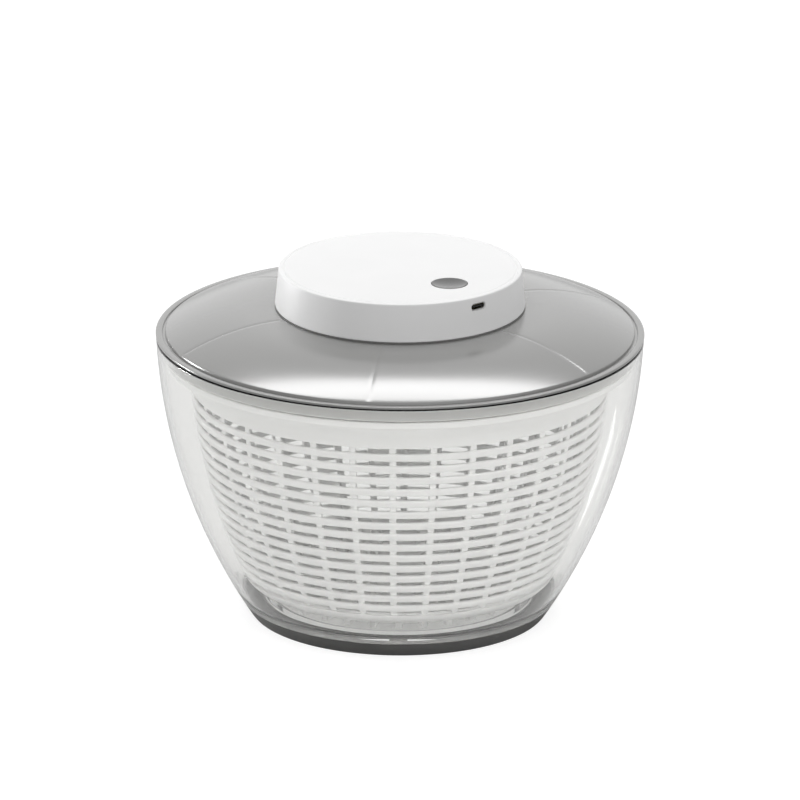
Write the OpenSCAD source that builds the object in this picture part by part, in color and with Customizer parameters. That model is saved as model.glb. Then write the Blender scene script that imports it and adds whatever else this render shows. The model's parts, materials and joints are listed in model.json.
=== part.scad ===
// Rechargeable salad spinner: a clear bowl on a soft ring, a spinning basket on a centre pivot,
// and a lid whose round power head drives the basket through a planetary gearbox.
// Millimetres, +Z up, origin on the spin axis at the underside of the base ring.

/* [Bowl] */
// Radius of the bowl's outside at its rim
bowl_rim_r = 124.8; // [122:0.2:132]
// Radius of the bowl's outside just above the base ring
bowl_base_r = 81; // [76:0.5:86]
// Height of the bowl's rim above the table
bowl_h = 147.3; // [142:0.5:160]
// Radius of the arc that the bowl's wall follows
bowl_arc_r = 289; // [240:1:400]
// Thickness of the bowl's wall
bowl_wall = 2.6; // [2:0.1:3]
// Height of the bowl's floor above the table, on its upper face
bowl_floor_z = 11.4; // [10.5:0.1:13]
// Thickness of the bowl's floor
bowl_floor_t = 3; // [2:0.1:4]
// Radius of the round corner between the floor and the wall
bowl_fillet = 6; // [3:0.5:10]

/* [Base ring] */
// Height of the soft ring under the bowl
ring_h = 8; // [6:0.5:9]
// Thickness of the soft ring below the bowl's foot
ring_pad = 2.6; // [1.5:0.1:4]
// Width of the soft ring outside the bowl's foot, at its top
ring_lip = 6; // [5.6:0.1:8]
// Width of the bowl's foot
foot_w = 4; // [3:0.5:8]

/* [Pivot] */
// Radius of the steel pin in the bowl's floor
pin_r = 3; // [2:0.25:4]
// Height of the pin's tip above the bowl's floor
pin_rise = 14.6; // [12:0.2:20]
// Radius of the boss that holds the pin
pivot_boss_r = 10; // [8:0.5:14]
// Height of that boss above the bowl's floor
pivot_boss_h = 3; // [2:0.1:4]
// Wall of the bush that turns on the pin
bush_wall = 2.95; // [2:0.05:4]
// Radius of the bush's flange, which carries the basket
bush_flange_r = 9.5; // [9:0.25:11]

/* [Basket] */
// Play between the basket's flange and the bowl
flange_play = 2; // [1.5:0.1:4]
// How far the flange stands out past the basket's wall
band_flare = 12.7; // [11:0.1:16]
// Gap between the basket and the bowl, low down
basket_low_gap = 6.5; // [5.5:0.1:9]
// Height at which that gap is measured
basket_low_z = 28; // [26:0.5:32]
// Radius of the arc that the basket's wall follows
basket_arc_r = 299; // [260:1:400]
// Height of the top of the slots
slots_top_z = 121.8; // [116:0.2:123]
// Height of the bottom of the slots
slots_low_z = 23.6; // [23:0.2:30]
// Height of the basket's underside above the table
basket_z = 18; // [17.5:0.1:20]
// Thickness of the basket's solid walls and floor
basket_wall = 2.4; // [1.8:0.1:3]
// Radius of the round corner under the basket
basket_fillet = 11; // [9:0.5:13]
// Thickness of the flange at its edge
flange_t = 3.4; // [2.6:0.1:4]
// Number of slot rows, one above the other
slot_rows = 16; // [8:1:18]
// Height of one slot, measured along the wall
slot_h = 2.7; // [2:0.1:3.2]
// Number of upright ribs
rib_count = 32; // [16:4:36]
// Angle of the first rib, counted from +X
rib_angle = -1.8; // [-5.6:0.1:5.6]
// Width of one upright rib
rib_w = 3.5; // [2.5:0.1:5]
// Depth of the ribs behind the bars
rib_d = 2.3; // [1.5:0.1:3]
// Width of one slot in the basket's floor
floor_slot_w = 3; // [2:0.25:4]

/* [Lid] */
// How far the lid's flange stands out past the bowl's rim
lid_overhang = 0.2; // [0:0.1:2]
// Thickness of the lid's flange
lid_flange_t = 2.1; // [1.8:0.1:3]
// How far the dome's outer edge stands in from the bowl's rim
dome_inset = 5; // [4.6:0.1:6]
// Height of the dome's outer edge above the bowl's rim
dome_edge_h = 3; // [2.6:0.1:5]
// Height of the flat deck under the head, above the bowl's rim
deck_h = 15.7; // [14.5:0.1:18]
// Radius of the arc that the dome follows
dome_arc_r = 122.8; // [110:0.5:200]
// Thickness of the lid's wall
lid_wall = 2.4; // [1.8:0.1:3]
// Depth of the skirt that reaches into the bowl
skirt_h = 6.3; // [4:0.1:7]
// Number of radial grooves on the dome
groove_count = 6; // [3:1:12]
// Angle of the first groove, counted from +X
groove_angle = 22.4; // [0:0.2:60]
// Half width of a groove
groove_w = 1.5; // [0.8:0.1:3]
// Depth of a groove
groove_d = 0.8; // [0.3:0.1:1.2]

/* [Head] */
// Radius of the head at its lower edge
head_r = 64; // [62:0.5:64.4]
// Radius of the head at its top edge
head_top_r = 62.2; // [61:0.1:63.5]
// Height of the head above the lid's deck
head_h = 20.5; // [20.5:0.1:26]
// Wall of the head's cover
head_wall = 2.2; // [1.6:0.1:2.6]
// Radius of the round edge on top of the head
head_edge = 1.7; // [0.8:0.1:2]
// Height of the dark seal under the head
seal_h = 1; // [0.6:0.1:1.6]
// How far the seal stands out past the head
seal_lip = 0.6; // [0.2:0.1:0.9]
// Thickness of the head's base plate
base_t = 2.4; // [2:0.1:3]
// Radius of the circle that the head's four screws lie on
screw_circle = 52; // [48:0.5:54]

/* [Button and socket] */
// Radius of the round button
button_r = 9.2; // [7:0.1:11]
// Distance of the button from the spin axis
button_at = 36.3; // [34:0.1:40]
// Angle of the button, counted from +X
button_angle = -46.5; // [-50:0.5:-44]
// How far the button travels when pressed
button_travel = 0.6; // [0.3:0.1:0.7]
// Angle of the charging socket, counted from +X
socket_angle = -50.6; // [-60:0.2:-48]
// Height of the socket's centre below the top of the head
socket_drop = 5.1; // [4.6:0.1:5.6]

/* [Gearbox] */
// Gear module
gear_m = 0.8; // [0.7:0.05:0.85]
// Teeth on the sun gear
sun_z = 18; // [18:6:24]
// Width of the gears
gear_w = 5; // [4:0.5:6]
// Play between meshing teeth, measured along the pitch circle
backlash = 0.14; // [0.1:0.02:0.2]
// Height of the ring gear
ring_gear_h = 9.6; // [9.2:0.1:11]
// Radius of the output shaft
shaft_r = 4; // [3:0.25:5]

/* [Drive plate] */
// Number of lugs that drive the basket
lug_count = 4; // [3:1:8]
// Width of one lug
lug_w = 8; // [5:0.5:12]
// Thickness of the drive plate
plate_t = 2; // [1.4:0.1:2.6]

/* [Motor and battery] */
// Radius of the motor's can
motor_r = 16; // [14:0.5:18]
// Length of the motor's can
motor_h = 15.4; // [14:0.1:15.4]
// Radius of the motor's shaft
motor_shaft_r = 1; // [0.8:0.1:1.5]
// Length of the battery cell
cell_l = 50; // [40:1:54]
// Width of the battery cell
cell_w = 30; // [20:1:31]
// Height of the battery cell
cell_h = 10; // [6:0.5:13]

/* [Hidden] */
$fn = 96;

run_fit = 0.05;   // radial play of a shaft in its bush
shaft_fit = 0.03; // play of the drive plate on its shaft
slide_fit = 0.2;  // play around pieces that only locate each other
spin_gap = 0.6;   // play between a turning piece and a still one
eps = 0.5;        // how far a cutter reaches past the face that it opens
planet_count = 3;

// An arc's centre from two of its points and its radius, on the left of the way from p to q
function arc_centre(p, q, r) =
    let (d = q - p, l = norm(d)) (p + q) / 2 + [-d[1], d[0]] / l * sqrt(r * r - l * l / 4);
// Points along an arc, n steps from angle a0 to angle a1
function arc_points(c, r, a0, a1, n) =
    [for (i = [0:n]) let (a = a0 + (a1 - a0) * i / n) c + r * [cos(a), sin(a)]];
// Radius from the spin axis of an arc at height z
function arc_reach(c, r, z) = c[0] + sqrt(r * r - (z - c[1]) * (z - c[1]));
// Angle at which an arc passes height z
function arc_angle(c, r, z) = asin((z - c[1]) / r);
// Centre of a fillet that joins the flat at height z to the inside of an arc
function fillet_centre(c, r, f, z) =
    [c[0] + sqrt((r - f) * (r - f) - (z + f - c[1]) * (z + f - c[1])), z + f];
function angle_of(c, p) = atan2(p[1] - c[1], p[0] - c[0]);

// Bowl
bowl_c = arc_centre([bowl_base_r, ring_h], [bowl_rim_r, bowl_h], bowl_arc_r);
bowl_in_arc = bowl_arc_r - bowl_wall;
bowl_fillet_c = fillet_centre(bowl_c, bowl_in_arc, bowl_fillet, bowl_floor_z);
bowl_bottom_z = bowl_floor_z - bowl_floor_t;
rim_round = 0.8;
wall_steps = 16;
fillet_skip = 6;
foot_r = bowl_base_r - ring_lip;
ring_toe = 0.8;

// Pivot
boss_top_z = bowl_floor_z + pivot_boss_h;
pin_seat_z = bowl_bottom_z + 1;
pin_chamfer = 0.6;
boss_draft = 1;
pin_top_z = bowl_floor_z + pin_rise;
bush_r = pin_r + run_fit + bush_wall;
bush_low_z = boss_top_z + spin_gap;
bush_flange_z = basket_z - 1;
bush_cap = 1.5;
bush_top_z = pin_top_z + bush_cap;
hub_r = bush_r + 5;
hub_foot = 4;
hub_foot_h = 6;
hub_top_z = bush_top_z + 2.6;

// Basket
skirt_bottom_z = bowl_h - skirt_h;
flange_top_z = skirt_bottom_z - 1.2;
flange_r = arc_reach(bowl_c, bowl_in_arc, flange_top_z) - flange_play;
flange_lip = 0.8;
flange_bevel = 1.2;
basket_top_r = flange_r - band_flare;
basket_low_r = arc_reach(bowl_c, bowl_in_arc, basket_low_z) - basket_low_gap;
basket_c = arc_centre([basket_low_r, basket_low_z], [basket_top_r, slots_top_z], basket_arc_r);
basket_fillet_c = fillet_centre(basket_c, basket_arc_r, basket_fillet, basket_z);
band_fillet = flange_r - flange_lip - arc_reach(basket_c, basket_arc_r, slots_top_z);
band_c = [flange_r - flange_lip, flange_top_z - flange_t - band_fillet];
lip_angle = 115;
slots_top_a = arc_angle(basket_c, basket_arc_r, slots_top_z);
slots_low_a = arc_angle(basket_c, basket_arc_r, slots_low_z);
bar_count = slot_rows - 1;
bar_h = ((slots_top_a - slots_low_a) * PI / 180 * basket_arc_r - slot_rows * slot_h) / bar_count;
bar_d = 2.2;
bar_round = 0.35;  // share of a bar's height that each of its outer edges is rounded by
rib_overlap = 0.6;
rib_run = 0.6;
rib_steps = 8;
floor_row_count = 3;
floor_web = 4;
floor_in_r = hub_r + 2 * hub_foot + 3;
floor_pitch = (basket_fillet_c[0] - floor_in_r) / floor_row_count;
// Each row of floor slots: its inner radius, its outer radius and its number of slots
floor_rows = [for (i = [0:floor_row_count - 1])
    [floor_in_r + i * floor_pitch, floor_in_r + (i + 1) * floor_pitch - floor_web, 8 * (i + 2)]];
pocket_in_r = flange_r - 7.3;
pocket_w = 4.4;
pocket_d = 2.4;
pocket_play = 0.3;

// Lid
lid_r = bowl_rim_r + lid_overhang;
dome_r = bowl_rim_r - dome_inset;
deck_z = bowl_h + deck_h;
deck_r = head_r + 1;
dome_edge_z = bowl_h + dome_edge_h;
dome_c = arc_centre([dome_r, dome_edge_z], [deck_r, deck_z], dome_arc_r);
flange_z = bowl_h + lid_flange_t;
gutter_z = bowl_h + lid_flange_t / 2;
skirt_r = arc_reach(bowl_c, bowl_in_arc, bowl_h) - 1;
skirt_in_r = skirt_r - lid_wall;
dome_in_r = dome_arc_r - lid_wall;
dome_steps = 10;
gutter_w = 1.3;
gutter_draft = 0.3;
lid_bevel = 0.9;
lid_draft = 0.2;

// Head
head_z = deck_z + seal_h;
head_top_z = deck_z + head_h;
head_ceiling_z = head_top_z - head_wall;
function head_reach(z) = head_r + (head_top_r - head_r) * (z - head_z) / (head_top_z - head_z);
cover_in_r = head_r - head_wall;
base_r = cover_in_r - slide_fit;
base_top_z = deck_z + base_t;
head_screw_count = 4;
screw_boss_r = 3.4;
screw_r = 1.45;
screw_hole_r = 1.7;
screw_top_z = base_top_z + 9.6;
screw_head_r = 2.8;
screw_head_h = 1.8;
small_head_r = 2;
small_head_h = 1.4;

// Gears
planet_z = 18;
ring_z = sun_z + 2 * planet_z;
sun_pitch_r = gear_m * sun_z / 2;
planet_pitch_r = gear_m * planet_z / 2;
ring_pitch_r = gear_m * ring_z / 2;
planet_at = sun_pitch_r + planet_pitch_r;
ring_gear_r = ring_pitch_r + 5.9;
well_in_r = ring_gear_r + run_fit * 2;
well_r = well_in_r + base_t;
ring_top_z = deck_z - 0.8;
well_floor_z = ring_top_z - ring_gear_h;
well_bottom_z = well_floor_z - base_t;
carrier_z = well_floor_z + 0.4;
carrier_t = 2;
carrier_r = planet_at + 4;
carrier_top_z = carrier_z + carrier_t;
gear_z = carrier_top_z + run_fit;
planet_pin_r = 1.5;
gear_screw_at = ring_gear_r - 2.3;
gear_screw_r = 1.25;
gear_screw_low_z = well_bottom_z + 0.8;

// Output
boss_z = well_bottom_z - 5.6;
bush_bore_r = shaft_r + run_fit / 2;
bush_out_r = shaft_r + 2.5;
output_boss_r = bush_out_r + 2.9;
seal_low_z = boss_z + 0.4;
seal_top_z = seal_low_z + 2.6;
shaft_gap = 0.4;
plate_hub_top_z = boss_z - 0.4;
plate_hub_z = plate_hub_top_z - 6.6;
plate_hub_r = 9;
shaft_low_z = plate_hub_z + 0.2;
shaft_flat = shaft_r - 1;
washer_t = 1;
washer_r = 6.5;
plate_screw_r = 1.5;

// Drive plate
plate_r = skirt_in_r - 0.8;
plate_edge_z = flange_top_z + spin_gap;
plate_web_z = plate_hub_top_z - plate_t;
plate_step_r = plate_r - 8;
plate_web_r = plate_r - 24;
plate_slant = 0.6;
plate_hub_slope = 3;
plate_rib_count = 6;
plate_rib_w = 1.6;
plate_rib_h = 1.6;
lug_r = pocket_in_r + 0.9;
lug_t = 3;
lug_low_z = flange_top_z - 1.6;
plate_slot_w = 3;
plate_slot_start = 5;
// Each row of the plate's slots: its inner radius, its outer radius and its number of slots
plate_slot_rows = [[plate_hub_r + 35, plate_hub_r + 51, 18], [plate_web_r - 26, plate_web_r - 4, 30]];

// Motor
gear_plate_t = 1.6;
gear_plate_z = ring_top_z;
motor_z = gear_plate_z + gear_plate_t;
motor_top_z = motor_z + motor_h;
can_t = 1;
motor_boss_r = 5;
motor_boss_z = gear_plate_z + 0.2;
motor_bush_r = 3;
motor_screw_at = 9.5;
motor_screw_r = 1.25;
motor_screw_head_r = 2.4;
motor_screw_cone = 1.15;
magnet_t = 2;
magnet_low_gap = 3;
magnet_top_gap = 4;
armature_r = motor_r - can_t - magnet_t - spin_gap;
core_low_gap = 4;
core_top_gap = 4.4;
commutator_r = 3.4;
commutator_h = 2.2;
end_cap_t = 1.9;
end_cap_plug = 1.6;
end_cap_skin = 0.6;

// Board, button and socket
board_t = 1.6;
port_w = 8.94;
port_h = 3.26;
port_l = 7.35;
board_top_z = head_top_z - socket_drop - port_h / 2;
board_z = board_top_z - board_t;
board_in = 26.5;
board_out = 57.5;
board_w = 24;
post_r = 2.4;
post_screw_r = 1;
post_solid_h = 3;
board_screw_l = 6;
post_inset = 3;
posts = [for (u = [board_in + post_inset + 1, board_out - 2 * post_inset - 0.5],
    v = [-1, 1] * (board_w / 2 - post_inset)) [u, v]];
switch_w = 6;
switch_h = 2.6;
plunger_r = 1.5;
plunger_top_z = board_top_z + switch_h + 0.8;
button_top_z = head_top_z + 0.1;
button_flange_z = head_ceiling_z - slide_fit;
button_lip_t = 0.8;
button_lip_w = 1.4;
button_wall = 1.2;
button_play = 0.15;
button_stem_r = 1.8;
socket_margin = 0.3;
socket_cut = 10;
port_wall = 0.3;
port_back = 1;
port_recess = 0.6;
tongue_w = 6.7;
tongue_t = 0.7;
tongue_l = 5.8;

// Battery
cell_round = 1.5;
cell_over = 12;
cell_x = -well_r - cell_w + cell_over;
fence_t = 1.2;
fence_gap = 0.2;
fence_h = 4;

// Places a child on the radius that runs at angle a from +X
module at_angle(a) rotate([0, 0, a]) children();
module at_screws() around(head_screw_count) translate([screw_circle, 0, 0]) children();
module at_gear_screws() around(planet_count, 180 / planet_count)
    translate([gear_screw_at, 0, 0]) children();
module at_posts() at_angle(socket_angle)
    for (p = posts) translate([p[0], p[1], 0]) children();
module at_button() at_angle(button_angle) translate([button_at, 0, 0]) children();
module around(n, start = 0) for (i = [0:n - 1]) at_angle(start + 360 * i / n) children();
module tube(r_out, r_in, z0, z1) difference() {
    translate([0, 0, z0]) cylinder(r = r_out, h = z1 - z0);
    translate([0, 0, z0 - eps]) cylinder(r = r_in, h = z1 - z0 + 2 * eps);
}
module rod(r, z0, z1) translate([0, 0, z0]) cylinder(r = r, h = z1 - z0);
module stadium(w, h, depth) rotate([90, 0, 90]) linear_extrude(depth) {
    square([w - h, h], center = true);
    for (s = [-1, 1]) translate([s * (w - h) / 2, 0]) circle(d = h);
}
module slot_row(row, w, z, h) around(row[2])
    translate([row[0], -w / 2, z]) cube([row[1] - row[0], w, h]);

// ---- Bowl body ----

module bowl() color("AliceBlue", 0.4) difference() {
    rotate_extrude() polygon(concat(
        [[0, bowl_bottom_z], [foot_r - foot_w, bowl_bottom_z], [foot_r - foot_w, ring_pad],
         [foot_r, ring_pad], [foot_r, ring_h]],
        arc_points(bowl_c, bowl_arc_r, arc_angle(bowl_c, bowl_arc_r, ring_h),
            arc_angle(bowl_c, bowl_arc_r, bowl_h - rim_round), wall_steps),
        [[arc_reach(bowl_c, bowl_arc_r, bowl_h) - rim_round, bowl_h],
         [arc_reach(bowl_c, bowl_in_arc, bowl_h), bowl_h]],
        arc_points(bowl_c, bowl_in_arc, arc_angle(bowl_c, bowl_in_arc, bowl_h - rim_round),
            angle_of(bowl_c, bowl_fillet_c), wall_steps),
        arc_points(bowl_fillet_c, bowl_fillet, angle_of(bowl_c, bowl_fillet_c) - fillet_skip, -90, 8),
        [[pivot_boss_r + boss_draft, bowl_floor_z], [pivot_boss_r, boss_top_z], [0, boss_top_z]]
    ));
    rod(pin_r, pin_seat_z, boss_top_z + eps);
}

module base_ring() color("DimGray") rotate_extrude() polygon(concat(
    [[foot_r - foot_w, 0], [arc_reach(bowl_c, bowl_arc_r, 0) - ring_toe, 0]],
    arc_points(bowl_c, bowl_arc_r, arc_angle(bowl_c, bowl_arc_r, ring_toe),
        arc_angle(bowl_c, bowl_arc_r, ring_h), 4),
    [[foot_r, ring_h], [foot_r, ring_pad], [foot_r - foot_w, ring_pad]]
));

module pivot_pin() color("Silver") {
    rod(pin_r, pin_seat_z, pin_top_z - pin_chamfer);
    translate([0, 0, pin_top_z - pin_chamfer])
        cylinder(r1 = pin_r, r2 = pin_r - pin_chamfer, h = pin_chamfer);
}

// ---- Basket ----

module pivot_bush() color("Gainsboro") difference() {
    union() {
        rod(bush_r, bush_low_z, bush_top_z);
        rod(bush_flange_r, bush_low_z, bush_flange_z);
    }
    rod(pin_r + run_fit, bush_low_z - eps, pin_top_z);
}

// One bar's outline: flat inside, rounded outside, drawn at a point of the wall's arc
function bar_outline(a) =
    let (p = basket_c + basket_arc_r * [cos(a), sin(a)], h = bar_h / 2, c = bar_h * bar_round)
    [for (q = [[-bar_d, -h], [-c, -h], [-c * 0.3, -h + c * 0.3], [0, -h + c],
               [0, h - c], [-c * 0.3, h - c * 0.3], [-c, h], [-bar_d, h]])
        p + [q[0] * cos(a) - q[1] * sin(a), q[0] * sin(a) + q[1] * cos(a)]];

module basket_bars() {
    slot_a = slot_h / basket_arc_r * 180 / PI;
    step = (slots_top_a - slots_low_a + slot_a) / slot_rows;
    for (i = [1:bar_count])
        rotate_extrude() polygon(bar_outline(slots_top_a + slot_a / 2 - i * step));
}

module basket_ribs() around(rib_count, rib_angle) rotate([90, 0, 0]) translate([0, 0, -rib_w / 2])
    linear_extrude(rib_w) polygon(concat(
        arc_points(basket_c, basket_arc_r - bar_d + rib_overlap, slots_low_a - rib_run,
            slots_top_a + rib_run, rib_steps),
        arc_points(basket_c, basket_arc_r - bar_d + rib_overlap - rib_d, slots_top_a + rib_run,
            slots_low_a - rib_run, rib_steps)));

// The solid band above the slots, which flares into the flange
module basket_band() difference() {
    rotate_extrude() polygon(concat(
        arc_points(basket_c, basket_arc_r, slots_top_a,
            arc_angle(basket_c, basket_arc_r, band_c[1]), 2),
        arc_points(band_c, band_fillet, 170, 90, 10),
        [[flange_r, flange_top_z - flange_t + flange_bevel / 2],
         [flange_r, flange_top_z - flange_bevel],
         [flange_r - flange_bevel * 0.3, flange_top_z - flange_bevel * 0.3],
         [flange_r - flange_bevel, flange_top_z]],
        [[band_c[0] + (band_fillet + basket_wall) * cos(lip_angle), flange_top_z]],
        arc_points(band_c, band_fillet + basket_wall, lip_angle, 172, 8),
        [[arc_reach(basket_c, basket_arc_r, slots_top_z) - basket_wall, slots_top_z]]
    ));
    around(lug_count) translate([pocket_in_r, -lug_w / 2 - pocket_play, flange_top_z - pocket_d])
        cube([pocket_w, lug_w + 2 * pocket_play, pocket_d + eps]);
}

// The closed dish below the slots, with the floor's slots and the hub
module basket_dish() difference() {
    union() {
        rotate_extrude() polygon(concat(
            [[0, basket_z]],
            arc_points(basket_fillet_c, basket_fillet, -90,
                angle_of(basket_c, basket_fillet_c) * 1.001, 8),
            [basket_c + basket_arc_r * [cos(slots_low_a), sin(slots_low_a)]],
            [basket_c + (basket_arc_r - basket_wall) * [cos(slots_low_a), sin(slots_low_a)]],
            arc_points(basket_fillet_c, basket_fillet - basket_wall,
                angle_of(basket_c, basket_fillet_c), -90, 6),
            [[0, basket_z + basket_wall]]
        ));
        translate([0, 0, basket_z]) cylinder(r1 = hub_r + hub_foot, r2 = hub_r, h = hub_foot_h);
        rod(hub_r, basket_z + hub_foot_h - eps, hub_top_z);
        rod(hub_r, bush_flange_z, basket_z + 1);
    }
    rod(bush_r + run_fit, bush_flange_z - eps, bush_top_z + 2 * run_fit);
    for (row = floor_rows) slot_row(row, floor_slot_w, basket_z - eps, basket_wall + 2 * eps);
}

module basket() color("WhiteSmoke") {
    basket_band();
    basket_bars();
    basket_ribs();
    basket_dish();
}

// ---- Lid ----

module lid_shell() rotate_extrude() polygon(concat(
    [[well_r + slide_fit, deck_z]],
    arc_points(dome_c, dome_arc_r, angle_of(dome_c, [deck_r, deck_z]),
        angle_of(dome_c, [dome_r, dome_edge_z]), dome_steps),
    [[dome_r + gutter_draft, gutter_z], [dome_r + gutter_draft + gutter_w, gutter_z],
     [dome_r + 2 * gutter_draft + gutter_w, flange_z],
     [lid_r - lid_bevel, flange_z], [lid_r - lid_draft, flange_z - lid_bevel / 3],
     [lid_r, flange_z - lid_bevel],
     [lid_r - lid_draft, bowl_h + lid_bevel / 3], [lid_r - lid_bevel * 2 / 3, bowl_h],
     [skirt_r, bowl_h], [skirt_r, skirt_bottom_z], [skirt_in_r, skirt_bottom_z],
     [skirt_in_r, arc_reach([dome_c[1], dome_c[0]], dome_in_r, skirt_in_r)]],
    arc_points(dome_c, dome_in_r, acos((skirt_in_r - dome_c[0]) / dome_in_r),
        angle_of(dome_c, [deck_r, deck_z]), dome_steps),
    [[well_r + slide_fit, deck_z - lid_wall]]
));

module lid_groove() translate([dome_c[0], 0, dome_c[1]]) rotate([90, 0, 0])
    rotate([0, 0, angle_of(dome_c, [dome_r, dome_edge_z]) - 2])
    rotate_extrude(angle = angle_of(dome_c, [deck_r, deck_z])
        - angle_of(dome_c, [dome_r, dome_edge_z]) + 1.5)
    translate([dome_arc_r, 0]) polygon([[-groove_d, 0], [eps, -groove_w * (1 + eps / groove_d)],
        [eps, groove_w * (1 + eps / groove_d)]]);

module lid() color("LightSlateGray", 0.7) difference() {
    lid_shell();
    around(groove_count, groove_angle) lid_groove();
    at_screws() rod(screw_hole_r, deck_z - lid_wall - eps, deck_z + eps);
}

// ---- Head ----

module head_base() color("WhiteSmoke") difference() {
    union() {
        rod(base_r, deck_z, base_top_z);
        rod(well_r, well_bottom_z, deck_z + eps);
        rod(output_boss_r, boss_z, well_bottom_z + eps);
        at_posts() rod(post_r, deck_z + eps, board_z);
        for (y = [-cell_l / 2 - fence_gap - fence_t, cell_l / 2 + fence_gap])
            translate([cell_x + cell_round, y, deck_z + eps])
                cube([cell_w / 2, fence_t, base_t + fence_h]);
    }
    rod(well_in_r, well_floor_z, base_top_z + eps);
    rod(bush_out_r, seal_low_z, well_floor_z + eps);
    rod(shaft_r + shaft_gap, boss_z - eps, seal_low_z + eps);
    at_screws() rod(screw_hole_r, deck_z - eps, base_top_z + eps);
    at_gear_screws() rod(gear_screw_r, gear_screw_low_z, well_floor_z + eps);
    at_posts() rod(post_screw_r, base_top_z + post_solid_h, board_z + eps);
}

module head_seal() color("DimGray") tube(head_r + seal_lip, base_r + slide_fit, deck_z, head_z);

module head_shell() rotate_extrude() polygon(concat(
    [[cover_in_r, head_z], [head_r, head_z], [head_reach(head_top_z - head_edge), head_top_z - head_edge]],
    arc_points([head_reach(head_top_z - head_edge) - head_edge, head_top_z - head_edge],
        head_edge, 0, 90, 6),
    [[0, head_top_z], [0, head_ceiling_z], [head_top_r - head_wall, head_ceiling_z]]
));

module head_cover() color("White") difference() {
    union() {
        head_shell();
        at_screws() rod(screw_boss_r, base_top_z, head_ceiling_z + eps);
    }
    at_screws() rod(screw_r, base_top_z - eps, screw_top_z + eps);
    at_button() rod(button_r + button_play, head_ceiling_z - eps, head_top_z + eps);
    at_angle(socket_angle) translate([cover_in_r - socket_cut / 2, 0, head_top_z - socket_drop])
        stadium(port_w + 2 * socket_margin, port_h + 2 * socket_margin, socket_cut);
}

module head_screws() color("Silver") at_screws() {
    rod(screw_head_r, deck_z - lid_wall - screw_head_h, deck_z - lid_wall);
    rod(screw_r, deck_z - lid_wall - screw_head_h / 2, screw_top_z);
}

// ---- Button, board and socket ----

module button_cap() color("Gray") at_button() {
    rod(button_r, head_ceiling_z + 2 * slide_fit, button_top_z);
    tube(button_r, button_r - button_wall, button_flange_z - button_lip_t, head_ceiling_z + eps);
    tube(button_r + button_lip_w, button_r - button_wall, button_flange_z - button_lip_t,
        button_flange_z);
    rod(button_stem_r, plunger_top_z, head_ceiling_z + eps);
}

module switch_plunger() color("Black") at_button()
    rod(plunger_r, board_top_z + button_travel + slide_fit, plunger_top_z);

module tact_switch() color("DimGray") at_button() difference() {
    translate([-switch_w / 2, -switch_w / 2, board_top_z]) cube([switch_w, switch_w, switch_h]);
    rod(plunger_r + run_fit, board_top_z - eps, board_top_z + switch_h + eps);
}

module circuit_board() color("DarkGreen") at_angle(socket_angle) difference() {
    translate([board_in, -board_w / 2, board_z]) cube([board_out - board_in, board_w, board_t]);
    for (p = posts) translate([p[0], p[1], 0])
        rod(post_screw_r + slide_fit, board_z - eps, board_top_z + eps);
}

module board_screws() color("Silver") at_posts() {
    rod(small_head_r, board_top_z, board_top_z + small_head_h);
    rod(post_screw_r, board_z - board_screw_l, board_top_z + small_head_h / 2);
}

module usb_port() color("Silver") at_angle(socket_angle)
    translate([head_reach(head_top_z - socket_drop) - port_recess - port_l, 0,
        head_top_z - socket_drop]) {
        difference() {
            stadium(port_w, port_h, port_l);
            translate([port_back, 0, 0])
                stadium(port_w - 2 * port_wall, port_h - 2 * port_wall, port_l);
        }
        translate([port_back / 2, -tongue_w / 2, -tongue_t / 2]) cube([tongue_l, tongue_w, tongue_t]);
    }

module battery_cell() color("SteelBlue") translate([cell_x, -cell_l / 2, base_top_z]) {
    translate([cell_round, 0, 0]) cube([cell_w - 2 * cell_round, cell_l, cell_h]);
    translate([0, 0, cell_round]) cube([cell_w, cell_l, cell_h - 2 * cell_round]);
}

// ---- Gearbox ----

function inv(a) = tan(a) * 180 / PI - a;
// Half the angle of a tooth at radius r, on a gear with z teeth
function half_tooth(z, r, play) =
    let (p = gear_m * z / 2, b = p * cos(20), q = max(r, b))
    90 / z + inv(20) - inv(acos(b / q)) - play / 2 / p * 180 / PI / 2;
function gear_points(z, tip, root, play) =
    let (p = gear_m * z / 2, r0 = p - root, r1 = p + tip, n = 4)
    [for (t = [0:z - 1], k = [0:2 * n + 1])
        let (i = k <= n ? k : 2 * n + 1 - k, r = r0 + (r1 - r0) * i / n,
             a = 360 * t / z + (k <= n ? -1 : 1) * half_tooth(z, r, play))
        r * [cos(a), sin(a)]];

module gear(z, bore) difference() {
    translate([0, 0, gear_z]) linear_extrude(gear_w)
        polygon(gear_points(z, gear_m, 1.25 * gear_m, backlash));
    rod(bore, gear_z - eps, gear_z + gear_w + eps);
}

module planet(i) at_angle(360 * i / planet_count) translate([planet_at, 0, 0])
    rotate([0, 0, 180 / planet_z]) gear(planet_z, planet_pin_r + run_fit);

module planet_gear_1() color("Ivory") planet(0);
module planet_gear_2() color("Ivory") planet(1);
module planet_gear_3() color("Ivory") planet(2);
module sun_gear() color("Goldenrod") gear(sun_z, motor_shaft_r);

module ring_gear() color("Ivory") difference() {
    rod(ring_gear_r, well_floor_z, ring_top_z);
    rotate([0, 0, 180 / ring_z]) translate([0, 0, well_floor_z - eps])
        linear_extrude(ring_gear_h + 2 * eps)
        polygon(gear_points(ring_z, 1.25 * gear_m, gear_m, -backlash));
    at_gear_screws() rod(gear_screw_r + run_fit, well_floor_z - eps, ring_top_z + eps);
}

module planet_carrier() color("Gainsboro") difference() {
    rod(carrier_r, carrier_z, carrier_top_z);
    rod(shaft_r, carrier_z - eps, carrier_top_z + eps);
    around(planet_count) translate([planet_at, 0, 0])
        rod(planet_pin_r, carrier_z - eps, carrier_top_z + eps);
}

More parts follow.
